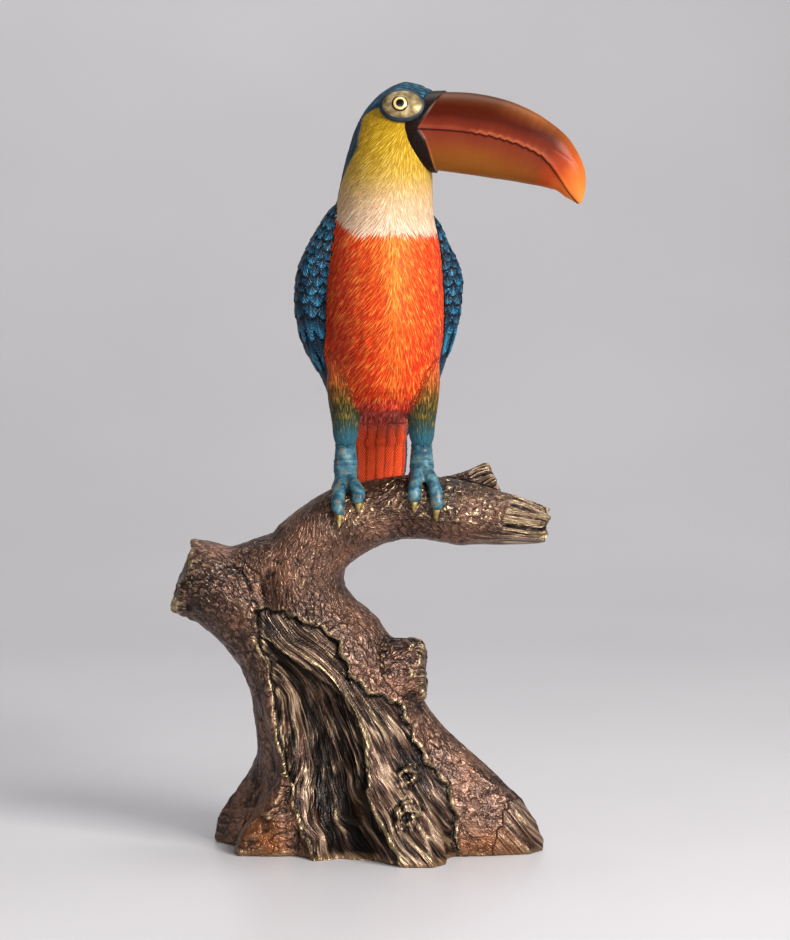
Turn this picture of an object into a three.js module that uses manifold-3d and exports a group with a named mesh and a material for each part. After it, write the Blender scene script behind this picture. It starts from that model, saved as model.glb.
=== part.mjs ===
// A cast and painted toucan perched on a cast tree stump, as two solids in millimetres.
// +Z is up, the side that the toucan's breast faces is -Y, and the beak points along +X.
// The origin is on the floor, under the middle of the stump.
import * as THREE from "three";
import { mergeVertices } from "three/addons/utils/BufferGeometryUtils.js";
import Module from "manifold-3d";

// Driving dimensions
const standHeight = 244; // floor to the top of the branch between the toucan's feet
const birdHeight = 254; // soles to crown
const bodyTurn = 10; // degrees that the breast turns from -Y towards +X
const beakTurn = 12; // degrees that the beak turns from +X towards -Y
const barkThickness = 2.4; // step from the bark down to the bare wood
const seatGap = 0.3; // clearance between the toes and the branch
const toeRadius = 4.3;
const clawRadius = 2.5;
const shankRadius = 6.9;
const eyeRadius = 4.9;
const eyeRingHeight = 10.2; // half the height of the bare ring round each eye
const collarProud = 1.1; // how far the dark collar stands out of the beak

// The stump's proportions are those of one 244 mm high, and the toucan's of one 254 mm high.
const S = standHeight / 244;
const B = birdHeight / 254;

const wasm = await Module();
wasm.setup();

const radians = THREE.MathUtils.degToRad;
const vec = (x, y, z) => new THREE.Vector3(x, y, z);
const byStand = ([x, y, z]) => vec(x * S, y * S, z * S);

// A closed three.js geometry as a solid that can be joined and cut.
function solid(geometry) {
  const bare = geometry.clone();
  bare.deleteAttribute("normal");
  bare.deleteAttribute("uv");
  const merged = mergeVertices(bare, 1e-4);
  return new wasm.Manifold(
    new wasm.Mesh({
      numProp: 3,
      vertProperties: new Float32Array(merged.attributes.position.array),
      triVerts: new Uint32Array(merged.index.array),
    }),
  );
}

function geometryOf(made) {
  const { numProp, numVert, vertProperties, triVerts } = made.getMesh();
  const positions = new Float32Array(numVert * 3);
  for (let i = 0; i < numVert; i++)
    positions.set(
      vertProperties.subarray(i * numProp, i * numProp + 3),
      i * 3,
    );
  const geometry = new THREE.BufferGeometry();
  geometry.setAttribute("position", new THREE.BufferAttribute(positions, 3));
  geometry.setIndex(new THREE.BufferAttribute(new Uint32Array(triVerts), 1));
  return geometry;
}

const join = (solids) => solids.reduce((all, one) => all.add(one));

// A limb runs along its stations, each { at, wide, deep }: its section is an ellipse that is
// 2 * deep along the "across" direction and 2 * wide at right angles to it and to the limb.
class Limb {
  constructor(stations, across = vec(0, 1, 0)) {
    this.spine = new THREE.CatmullRomCurve3(stations.map((s) => s.at));
    this.girth = new THREE.CatmullRomCurve3(
      stations.map((s) => vec(s.wide, s.deep, 0)),
    );
    this.across = across;
  }

  frame(t) {
    const along = this.spine.getTangent(t);
    const wideWay = this.across.clone().cross(along).normalize();
    const deepWay = along.clone().cross(wideWay);
    return { centre: this.spine.getPoint(t), along, wideWay, deepWay };
  }

  // The point of the surface at share t of the stations and at an angle from the wide direction,
  // moved outwards by lift.
  surface(t, angle, lift = 0) {
    const { centre, wideWay, deepWay } = this.frame(t);
    const girth = this.girth.getPoint(t);
    const out = wideWay
      .multiplyScalar(Math.cos(angle) * girth.x)
      .add(deepWay.multiplyScalar(Math.sin(angle) * girth.y));
    const reach = out.length();
    return centre.addScaledVector(out, Math.max(reach + lift, 0.05) / reach);
  }

  // A cylinder bent to the limb. carve(t, angle, point) adds to the radius, spread(t, angle, point)
  // moves the point out level, and fray(angle) moves the far rim along the limb, as a broken end
  // has it.
  solid({ sides, rings, grow = 0, carve = () => 0, spread = () => 0, fray = () => 0 }) {
    const shape = new THREE.CylinderGeometry(1, 1, 1, sides, rings);
    const place = shape.attributes.position;
    for (let i = 0; i < place.count; i++) {
      const t = place.getY(i) + 0.5;
      const rim = Math.hypot(place.getX(i), place.getZ(i)) > 0.5;
      const angle = Math.atan2(place.getZ(i), place.getX(i));
      let point = this.spine.getPoint(t);
      if (rim) {
        point = this.surface(t, angle, grow);
        point = this.surface(t, angle, grow + carve(t, angle, point));
        const out = vec(Math.cos(angle), Math.sin(angle), 0);
        point.addScaledVector(out, spread(t, angle, point));
        const near = THREE.MathUtils.smoothstep(t, 0.86, 1);
        point.addScaledVector(this.spine.getTangent(t), near * fray(angle));
      }
      place.setXYZ(i, point.x, point.y, point.z);
    }
    const made = solid(shape);
    return made.volume() < 0 ? solid(flipped(shape)) : made;
  }

  // The share of the stations, past share from, where the surface at that angle passes x.
  shareAt(x, angle, from) {
    let best = from;
    let least = Infinity;
    for (let t = from; t <= 1; t += 0.002) {
      const miss = Math.abs(this.surface(t, angle).x - x);
      if (miss < least) [best, least] = [t, miss];
    }
    return best;
  }
}

function flipped(geometry) {
  const turned = geometry.clone();
  const index = turned.index.array;
  for (let i = 0; i < index.length; i += 3)
    [index[i + 1], index[i + 2]] = [index[i + 2], index[i + 1]];
  return turned;
}

// An ellipsoid, turned by a quaternion if one is given.
function pebble(at, rx, ry, rz, detail, turn = new THREE.Quaternion()) {
  const shape = new THREE.SphereGeometry(1, detail, Math.ceil(detail / 2));
  shape.applyMatrix4(new THREE.Matrix4().compose(at, turn, vec(rx, ry, rz)));
  return solid(shape);
}

// A gentle lumpiness of the surface, the same at the same point of every limb.
function lumps(point, amount) {
  const { x, y, z } = point;
  return (
    amount *
    (Math.sin(x / 9.1 + z / 13.7) * 0.5 +
      Math.sin(y / 7.9 - z / 11.3 + 1.3) * 0.3 +
      Math.sin(x / 5.3 - y / 6.1 + z / 8.7) * 0.2)
  );
}

// Stump

const stumpStation = (at, wide, deep) => ({
  at: byStand(at),
  wide: wide * S,
  deep: deep * S,
});

// Trunk and branch are one limb: up from the floor, round to the right and along under the feet.
const trunk = new Limb([
  stumpStation([-8, -4, -14], 58, 45),
  stumpStation([-8, -4, 8], 58, 45),
  stumpStation([-10, -3, 34], 58, 44),
  stumpStation([-17, -1, 62], 57, 43),
  stumpStation([-27, 0, 93], 55, 42),
  stumpStation([-38, 0, 124], 49, 39),
  stumpStation([-49, 0, 152], 38.5, 35),
  stumpStation([-50, 0, 177], 30.5, 31),
  stumpStation([-39.5, 0, 199], 25.5, 28),
  stumpStation([-18, 0, 215], 22.5, 25),
  stumpStation([12, 0, 223], 20.5, 22),
  stumpStation([46, -1, 222], 21, 21.5),
  stumpStation([78, -2, 216], 17.5, 19),
  stumpStation([98, -3, 213], 13.5, 15.5),
  stumpStation([109, -3, 212], 10.5, 12),
]);
const branchFrom = 9 / 14; // share of the trunk's stations where the branch begins
const trunkTo = 0.5; // share where the roots have long died away

// Each root spreads from the foot of the trunk: bearing in degrees from +X towards +Y, how far it
// reaches past the trunk, how high it rises and how wide it is in degrees.
const roots = [
  { bearing: -7, reach: 61, rise: 102, width: 20 },
  { bearing: -59, reach: 35, rise: 66, width: 18 },
  { bearing: -88, reach: 20, rise: 55, width: 17 },
  { bearing: -116, reach: 12, rise: 34, width: 12 },
  { bearing: -160, reach: 35, rise: 50, width: 14 },
  { bearing: 163, reach: 47, rise: 78, width: 17 },
  { bearing: 108, reach: 22, rise: 60, width: 19 },
  { bearing: 52, reach: 30, rise: 70, width: 20 },
];

function rootReach(angle, z) {
  let sum = 0;
  for (const { bearing, reach, rise, width } of roots) {
    const turn = radians(bearing) - angle;
    const off = Math.atan2(Math.sin(turn), Math.cos(turn)) / radians(width);
    const height = THREE.MathUtils.clamp(z / (rise * S), 0, 1);
    sum += reach * S * Math.exp(-off * off) * 0.5 * (1 + Math.cos(Math.PI * height));
  }
  return sum;
}

const rootSpread = (t, angle, point) => (t < trunkTo ? rootReach(angle, point.z) : 0);

// The point of the trunk's front that shows at x and z, moved towards -Y by proud.
function front(x, z, proud) {
  const want = byStand([x, 0, z]);
  let best = want;
  let least = Infinity;
  for (let t = 0; t < trunkTo; t += 0.01)
    for (let angle = -Math.PI; angle < 0; angle += 0.05) {
      const point = trunk.surface(t, angle);
      const out = vec(Math.cos(angle), Math.sin(angle), 0);
      point.addScaledVector(out, rootSpread(t, angle, point));
      const miss = Math.hypot(point.x - want.x, point.z - want.z);
      if (miss < least) [best, least] = [point, miss];
    }
  return vec(want.x, best.y - proud * S, want.z);
}

function trunkSolid(grow, sides, rings) {
  return trunk.solid({
    sides,
    rings,
    grow,
    carve: (t, angle, point) => lumps(point, 1.6 * S),
    spread: rootSpread,
    fray: (angle) => S * (2.4 * Math.sin(5 * angle) + 1.6 * Math.sin(11 * angle + 1)),
  });
}

// Cut and broken limbs that leave the trunk.
const cutLimb = new Limb([
  stumpStation([-40, 2, 62], 28, 28),
  stumpStation([-52, 1, 98], 29, 31),
  stumpStation([-66, 0, 134], 28.5, 31),
  stumpStation([-86, 0, 160], 29.5, 30),
  stumpStation([-106, 0, 172.5], 27.5, 28.5),
  stumpStation([-120, 0, 175.5], 25.5, 26),
  stumpStation([-130, 0, 176], 22, 22),
]);
const knob = new Limb([
  stumpStation([-24, -6, 98], 25, 22),
  stumpStation([0, -8, 112], 25, 22),
  stumpStation([18, -9, 117], 23, 21),
  stumpStation([31, -10, 117.5], 19.5, 17),
]);
const saddle = new Limb([
  stumpStation([-46, 0, 192], 18, 24),
  stumpStation([-62, 0, 188], 18.5, 25),
  stumpStation([-82, 0, 182], 19, 25),
  stumpStation([-102, 0, 177], 19, 23),
]);
const snag = new Limb([
  stumpStation([26, 8, 224], 14, 11),
  stumpStation([50, 12, 231], 13, 10),
  stumpStation([64, 14, 236], 12, 9.5),
  stumpStation([76, 15, 241.5], 10, 8.5),
]);

function woodSolid(grow) {
  const broken = (angle) => S * 1.8 * Math.sin(7 * angle);
  const slanted = (angle) => broken(angle) - S * (3.5 + 6.5 * Math.cos(angle));
  const rough = (t, angle, point) => lumps(point, 1.6 * S);
  return join([
    trunkSolid(grow, 38, 32),
    cutLimb.solid({ sides: 20, rings: 9, grow, carve: rough, fray: slanted }),
    saddle.solid({ sides: 14, rings: 5, grow, carve: rough }),
    knob.solid({ sides: 12, rings: 5, grow, carve: rough, fray: broken }),
    snag.solid({ sides: 12, rings: 6, grow, carve: rough, fray: broken }),
  ]);
}

// A prism that runs through the stump from front to back, of an outline in X and Z.
function frontPrism(points, front, back) {
  const outline = new THREE.Shape(points.map(([x, z]) => new THREE.Vector2(x * S, z * S)));
  const shape = new THREE.ExtrudeGeometry(outline, {
    depth: (back - front) * S,
    bevelEnabled: false,
  });
  shape.rotateX(Math.PI / 2);
  shape.translate(0, back * S, 0);
  return solid(shape);
}

// Bare wood shows between the hollow and the ragged edge of the bark, which runs down and right.
const barkEdge = new THREE.SplineCurve([
  new THREE.Vector2(-77, 160),
  new THREE.Vector2(-63, 158.5),
  new THREE.Vector2(-50, 154.5),
  new THREE.Vector2(-29.5, 143),
  new THREE.Vector2(-21, 126),
  new THREE.Vector2(-6.5, 108),
  new THREE.Vector2(11, 99.5),
  new THREE.Vector2(22, 82),
  new THREE.Vector2(31, 62),
  new THREE.Vector2(42.5, 47),
  new THREE.Vector2(51, 24),
  new THREE.Vector2(52, -8),
]);

function bareWoodCut() {
  const steps = 30;
  const ragged = [];
  for (let i = 0; i <= steps; i++) {
    const p = barkEdge.getPoint(i / steps);
    const tooth = (i % 2 ? 2.2 : -2.2) * (0.6 + 0.4 * Math.sin(i * 2.3));
    ragged.push([p.x + tooth, p.y + tooth * 0.7]);
  }
  const prism = frontPrism([...ragged, [-60, -8], [-66, 110]], -120, -6);
  return prism.subtract(woodSolid(-barkThickness * S));
}

// The hollow runs down the front from under the cut limb and opens out at the floor.
const frontStation = (x, z, proud, wide, deep) => ({
  at: front(x, z, proud),
  wide: wide * S,
  deep: deep * S,
});
const hollow = new Limb([
  frontStation(-75, 141, 6, 2, 7),
  frontStation(-60, 124, 3, 10, 17),
  frontStation(-45, 104, 1, 21, 24),
  frontStation(-36, 80, 0, 27.5, 27),
  frontStation(-32, 60, 0, 26.5, 27),
  frontStation(-31, 44, 0, 24, 27),
  frontStation(-24, 22, 5, 26, 26),
  frontStation(-12, 2, 12, 28, 26),
  frontStation(-8, -14, 16, 29, 26),
]);

function hollowCut() {
  return hollow.solid({
    sides: 30,
    rings: 14,
    carve: (t, angle) => S * (1.5 * Math.sin(9 * angle + 5 * t) + 0.7 * Math.sin(4 * angle)),
  });
}

// The ridge along the left of the hollow.
const lip = new Limb([
  frontStation(-76, 128, -3, 3, 5),
  frontStation(-71, 110, -4, 5, 9),
  frontStation(-67, 88, -5, 5.5, 11),
  frontStation(-61, 66, -6, 6, 13),
  frontStation(-62, 44, -6, 6.5, 12),
  frontStation(-72, 22, -5, 6, 9),
]);

// A knot is a low swelling with a dent in it.
function knot(x, z, radius) {
  const size = radius * S;
  return pebble(front(x, z, -1), size, 5 * S, size, 12).subtract(
    pebble(front(x, z, 4), size * 0.5, 3.4 * S, size * 0.5, 10),
  );
}

function stumpSolid() {
  const size = 400 * S;
  const floor = new THREE.BoxGeometry(size, size, size);
  floor.translate(0, 0, -size / 2);
  return woodSolid(0)
    .subtract(bareWoodCut())
    .subtract(hollowCut())
    .add(lip.solid({ sides: 8, rings: 12 }))
    .add(knot(19.5, 53, 7))
    .add(knot(19.5, 31, 8.5))
    .subtract(solid(floor));
}

// Toucan

// Positions of the toucan are taken from the branch top between its feet: to the right, to the
// back and up.
const perch = vec(4 * S, 0, standHeight);
const onPerch = (right, back, up) =>
  vec(right, back, up).multiplyScalar(B).add(perch);

// The same, but turned with the breast, from the middle of the body.
const facing = new THREE.Quaternion().setFromAxisAngle(vec(0, 0, 1), radians(bodyTurn));
const onBody = (right, back, up) =>
  vec(right, back, 0)
    .applyQuaternion(facing)
    .add(vec(0.5, 6, up))
    .multiplyScalar(B)
    .add(perch);
const backWay = vec(0, 1, 0).applyQuaternion(facing);

const station = (at, wide, deep) => ({ at, wide: wide * B, deep: deep * B });

const body = new Limb(
  [
    station(onBody(0, 3, 42), 9, 10),
    station(onBody(0, 2, 45), 21, 22),
    station(onBody(0, 0, 54), 31, 33),
    station(onBody(0, -1, 74), 36, 40),
    station(onBody(0, -1, 100), 38, 43),
    station(onBody(0, 0, 128), 37.5, 42),
    station(onBody(0, 0, 150), 35.5, 38),
    station(onBody(0, -1, 168), 32, 32),
    station(onBody(1, -4, 188), 29.8, 28),
    station(onBody(3, -6, 206), 27.5, 27),
    station(onBody(7, -7, 222), 25.5, 25),
    station(onBody(13.5, -7, 236), 20.5, 22),
    station(onBody(19, -7, 244.5), 14.5, 16),
    station(onBody(23, -7, 249.5), 8.5, 9),
    station(onBody(24.5, -7, 252), 1, 1),
  ],
  backWay,
);

// A folded wing, at -X or +X (side -1 or 1), swept round to the rump. The one at +X hangs lower and
// closer to the body.
function wing(side) {
  const wingWay = backWay.clone().applyAxisAngle(vec(0, 0, 1), radians(28 * side));
  const places = [
    [23, 3, 180, 2.5, 5], [27, 7, 168, 8.5, 15], [29.5, 14, 150, 14, 26], [32.5, 20, 128, 16, 32],
    [32.5, 22, 108, 16, 32], [31, 25, 86, 14, 27], [28, 29, 66, 11, 22], [24, 34, 48, 8, 15],
    [20, 39, 32, 5, 9], [17, 42, 18, 2, 4],
  ];
  const drop = side > 0 ? [6, 6, 4.2] : [];
  const swell = side > 0 ? [0, 0, -1, -1, -2, -3, -2.5, -1] : [0, 0, 1, 3.5, 4, 1, -4, -4.5, -3, -2];
  const path = new Limb(
    places.map(([right, back, up, wide, deep], i) => {
      const out = right + (swell[i] ?? 0);
      return station(onBody(side * out, back, up - (drop[i] ?? 0)), wide, deep);
    }),
    wingWay,
  );
  // The coverts swell down to their lower edge, over the long feathers of the wing.
  const coverts = (t) => (t > 0.08 && t < 0.56 ? 3 * B * (t - 0.08) : 0);
  return path.solid({ sides: 16, rings: 18, carve: coverts });
}

const tail = new Limb(
  [
    station(onBody(0, 12, 64), 17, 16),
    station(onBody(0, 17, 48), 20, 14.5),
    station(onBody(1, 23, 34), 20, 10),
    station(onBody(2, 31, 22), 18.5, 5),
    station(onBody(3, 36, 8), 18.5, 4),
    station(onBody(3, 39, -8), 17, 3),
    station(onBody(3, 40, -16), 11, 2),
  ],
  backWay,
);

// A feathered thigh and the scaled shank below it, standing on the branch.
function leg(right) {
  const thigh = new Limb([
    station(onPerch(right * 0.96, -1, 84), 10, 12),
    station(onPerch(right, -5, 66), 13, 15),
    station(onPerch(right, -6, 50), 11.5, 12.5),
    station(onPerch(right, -5, 36), 9, 9.5),
    station(onPerch(right, -4, 24), 7.8, 8),
    station(onPerch(right, -3, 20), 6, 6),
  ]);
  const shank = new Limb([
    { at: onPerch(right, -4, 30), wide: shankRadius, deep: shankRadius * 0.9 },
    { at: onPerch(right, -3.5, 16), wide: shankRadius, deep: shankRadius * 0.95 },
    { at: onPerch(right, -3, 6), wide: shankRadius * 1.15, deep: shankRadius * 1.1 },
    { at: onPerch(right, -2, -3), wide: shankRadius, deep: shankRadius },
  ]);
  return [
    thigh.solid({ sides: 12, rings: 7 }),
    shank.solid({ sides: 10, rings: 5 }),
  ];
}

// A toe lies over the branch from the top, to x, and ends at an angle past the top; a claw follows.
function toe(from, to, side, end) {
  const top = -Math.PI;
  const sink = 0.25; // share of the toe's radius that is let into the bark
  const reach = (share, lift) => {
    const x = (4 + THREE.MathUtils.lerp(from, to, Math.min(share * 1.4, 1))) * S;
    const angle = top + side * radians(end * share);
    const t = trunk.shareAt(x, angle, branchFrom - 0.1);
    return trunk.surface(t, angle, lift);
  };
  const lift = toeRadius * (1 - sink);
  const toeStation = (share, girth) => ({
    at: reach(share, lift * girth),
    wide: toeRadius * girth,
    deep: toeRadius * girth,
  });
  const sideways = vec(1, 0, 0);
  const foot = { at: reach(0, 7), wide: toeRadius * 0.9, deep: toeRadius };
  const path = [foot];
  for (const [share, girth] of [[0.25, 1.12], [0.5, 1], [0.78, 1.04], [0.97, 1], [1, 0.8]])
    path.push(toeStation(share, girth));
  const claw = [[0.96, 1], [1.08, 0.85], [1.2, 0.5], [1.27, 0.12]].map(
    ([share, girth]) => ({
      at: reach(share, clawRadius * 0.9),
      wide: clawRadius * girth,
      deep: clawRadius * girth,
    }),
  );
  const sides = side > 0 ? 8 : 6;
  return [
    new Limb(path, sideways).solid({ sides, rings: sides - 1 }),
    new Limb(claw, sideways).solid({ sides: 6, rings: sides / 2 }),
  ];
}

// Two toes point forwards and two back on each foot.
function foot(right, toes) {
  return toes.flatMap(([offset, side, end]) => toe(right, right + offset, side, end));
}

// The beak's middle line, from inside the head to the hooked tip: ahead of the head and up.
const beakWay = vec(1, 0, 0).applyAxisAngle(vec(0, 0, 1), radians(-beakTurn));
const beakSide = vec(0, 1, 0).applyAxisAngle(vec(0, 0, 1), radians(-beakTurn));
const onBeak = (ahead, up, aside = 0) =>
  onPerch(13, -2, up)
    .addScaledVector(beakWay, ahead * B)
    .addScaledVector(beakSide, aside * B);

const beak = new Limb(
  [
    station(onBeak(-8, 221), 15, 14),
    station(onBeak(2, 222), 22, 19.5),
    station(onBeak(12, 222.5), 24, 20),
    station(onBeak(24, 222), 25.4, 18.5),
    station(onBeak(44, 220.2), 26.2, 16.5),
    station(onBeak(63, 216.5), 25.5, 15),
    station(onBeak(80, 211), 23, 13.5),
    station(onBeak(95.5, 203), 19, 11.5),
    station(onBeak(106.5, 193), 13, 9),
    station(onBeak(112, 183.5), 7, 6),
    station(onBeak(115, 176.5), 1.2, 1.5),
  ],
  beakSide,
);

// How low on the beak's side the mouth runs, from -1 at its top to 1 underneath.
const mouth = (t) => -0.07 + 0.4 * THREE.MathUtils.smoothstep(t, 0.64, 0.88);

// The lower half of the beak is a little narrower, which leaves the line of the mouth.
function beakSolid(grow) {
  return beak.solid({
    sides: 18,
    rings: 14,
    grow,
    carve: (t, angle) => (Math.cos(angle) > mouth(t) && t > 0.2 ? -0.9 * B : 0),
  });
}

// The dark collar between face and beak, which points back at the corner of the mouth.
function collar() {
  const notch = [
    [22, 253], [13, 240], [7, 233], [3.5, 227], [5, 219], [8, 207], [12, 199], [15, 188],
    [23, 188], [21.4, 203], [20, 210], [18, 217], [13.6, 224], [17.5, 231], [23, 240], [32, 253],
  ];
  const outline = new THREE.Shape(
    notch.map(([x, z]) => new THREE.Vector2(x * B, z * B)),
  );
  const half = 40 * B;
  const shape = new THREE.ExtrudeGeometry(outline, { depth: 2 * half, bevelEnabled: false });
  shape.rotateX(Math.PI / 2);
  shape.translate(0, half, 0);
  shape.rotateZ(radians(-beakTurn));
  const at = onBeak(0, 0);
  shape.translate(at.x, at.y, at.z);
  return solid(shape).intersect(beakSolid(collarProud * B));
}

// A bare ring with the eyeball in it, on each side of the head (side -1 faces -Y). It leans back
// with the head, which narrows towards the crown.
function eye(side) {
  const turn = new THREE.Quaternion().setFromEuler(
    new THREE.Euler(radians(20 * side), 0, radians(-beakTurn - 12 * side), "ZYX"),
  );
  const ring = onBeak(3, 238.5, side * 20.4 + 1.8);
  const ball = onBeak(3, 239, side * 22.2 + 1.8);
  return [
    pebble(ring, eyeRingHeight * 1.32 * B, 3.4 * B, eyeRingHeight * B, 14, turn),
    pebble(ball, eyeRadius * B, 2.9 * B, eyeRadius * B, 10, turn),
  ];
}

function toucanSolid() {
  const leftFoot = -24.5;
  const rightFoot = 24.8;
  const forehead = pebble(onBeak(11, 240.5), 13.5 * B, 13.5 * B, 10.5 * B, 16);
  return join([
    body.solid({ sides: 24, rings: 18, carve: (t, a, p) => lumps(p, 0.3 * B) }),
    forehead,
    wing(-1),
    wing(1),
    tail.solid({
      sides: 24,
      rings: 7,
      carve: (t, angle) => (t > 0.5 ? 0.8 * B * Math.sin(12 * angle) : 0),
    }),
    ...leg(leftFoot),
    ...leg(rightFoot),
    ...foot(leftFoot, [[-4, 1, 69], [9, 1, 64], [-6, -1, 62], [6, -1, 66]]),
    ...foot(rightFoot, [[-4.5, 1, 74], [9.5, 1, 84], [-6, -1, 62], [6, -1, 66]]),
    beakSolid(0),
    collar(),
    ...eye(-1),
    ...eye(1),
  ]).subtract(woodSolid(seatGap));
}

function part(name, made, colour, roughness, metalness) {
  const material = new THREE.MeshStandardMaterial({ color: colour, roughness, metalness });
  const mesh = new THREE.Mesh(geometryOf(made), material);
  mesh.name = name;
  return mesh;
}

const sculpture = new THREE.Group();
sculpture.add(part("tree_stump", stumpSolid(), 0x4a3226, 0.45, 0.8));
sculpture.add(part("toucan", toucanSolid(), 0xd9532c, 0.5, 0.1));

export default sculpture;
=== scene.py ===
"""A cast and painted toucan on a patinated bronze tree stump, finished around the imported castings."""

import functools
import itertools
import math

import bmesh
import bpy
import numpy as np
from mathutils import Matrix, Vector


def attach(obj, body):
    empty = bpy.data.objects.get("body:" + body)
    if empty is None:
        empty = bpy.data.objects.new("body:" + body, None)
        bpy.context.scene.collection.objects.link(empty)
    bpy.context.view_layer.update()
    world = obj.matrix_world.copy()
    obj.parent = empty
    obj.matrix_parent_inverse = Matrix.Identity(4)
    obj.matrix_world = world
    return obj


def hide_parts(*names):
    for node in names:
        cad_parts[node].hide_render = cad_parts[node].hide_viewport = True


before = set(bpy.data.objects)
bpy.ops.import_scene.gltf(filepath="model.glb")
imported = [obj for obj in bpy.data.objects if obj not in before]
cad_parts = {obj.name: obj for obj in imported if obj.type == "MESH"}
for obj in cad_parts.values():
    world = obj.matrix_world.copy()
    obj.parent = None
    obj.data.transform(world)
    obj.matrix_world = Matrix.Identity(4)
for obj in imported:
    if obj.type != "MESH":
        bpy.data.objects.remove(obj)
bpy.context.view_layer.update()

MM = 0.001

# Camera and studio
IMAGE_WIDTH, IMAGE_HEIGHT = 790, 940
CAMERA_AT = (0.0115, -2.2, 0.42)
CAMERA_AIM = (0.0115, 0.0, 0.2475)
FOCAL_PIXELS = 3395
SENSOR = 36.0

# Sizes shared with the castings, in millimetres
PERCH = np.array([4.0, 0.0, 244.0])
BODY_OFFSET = (0.5, 6.0, 0.0)
BODY_TURN = math.radians(10)
BEAK_ROOT = (13.0, -2.0)
BEAK_TURN = math.radians(12)
TAIL_HALF = 18.0
VANE_WIDTH = 6.1
COVERTS_LENGTH = 78.0
COVERT_PITCH = 6.4
QUILL_PITCH = 19.0
TOE_RADIUS = 4.3
CLAW_RADIUS = 2.5
SHANK_RADIUS = 6.9
EYE_RADIUS = 4.9
EYE_RING_HEIGHT = 10.2

# Sides of the small faces that carry the relief, in millimetres
STUMP_GRAIN = 1.33
TOUCAN_GRAIN = 1.06


def colour(code):
    """A #rrggbb colour as Blender's linear red, green, blue and alpha."""
    parts = [int(code[i : i + 2], 16) / 255 for i in (1, 3, 5)]
    return tuple(c / 12.92 if c <= 0.04045 else ((c + 0.055) / 1.055) ** 2.4 for c in parts) + (1.0,)


def add_node(tree, kind, inputs=(), out=0, stops=(), **settings):
    """Adds a shader node with its settings, its input values or links and its colour stops, and gives
    the output of that number or name, or several of them for a slice."""
    node = tree.nodes.new("ShaderNode" + kind)
    for name, value in settings.items():
        setattr(node, name, value)
    for socket, value in dict(inputs).items():
        if isinstance(value, bpy.types.NodeSocket):
            tree.links.new(value, node.inputs[socket])
        else:
            node.inputs[socket].default_value = colour(value) if isinstance(value, str) else value
    for number, (place, code) in enumerate(stops):
        marks = node.color_ramp.elements
        mark = marks[number] if number < 2 else marks.new(place)
        mark.position = place
        mark.color = colour(code)
    return node.outputs[out] if node.outputs else node


# Curved limbs of the castings

def catmull(points, share):
    """Places on the centripetal curve through the points, at shares of it from 0 to 1."""
    points = np.asarray(points, float)
    last = len(points) - 1
    place = np.clip(share, 0, 1) * last
    i = np.minimum(place.astype(int), last - 1)
    w = (place - i)[:, None]
    padded = np.vstack([2 * points[0] - points[1], points, 2 * points[-1] - points[-2]])
    p0, p1, p2, p3 = (padded[i + k] for k in range(4))
    d0, d1, d2 = (((b - a) ** 2).sum(1, keepdims=True) ** 0.25 for a, b in ((p0, p1), (p1, p2), (p2, p3)))
    d1 = np.where(d1 < 1e-4, 1.0, d1)
    d0 = np.where(d0 < 1e-4, d1, d0)
    d2 = np.where(d2 < 1e-4, d1, d2)
    m1 = ((p1 - p0) / d0 - (p2 - p0) / (d0 + d1) + (p2 - p1) / d1) * d1
    m2 = ((p2 - p1) / d1 - (p3 - p1) / (d1 + d2) + (p3 - p2) / d2) * d1
    return p1 + w * (m1 + w * (-3 * p1 + 3 * p2 - 2 * m1 - m2 + w * (2 * p1 - 2 * p2 + m1 + m2)))


def unit(rows):
    return rows / np.maximum(np.linalg.norm(rows, axis=1, keepdims=True), 1e-9)


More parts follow.
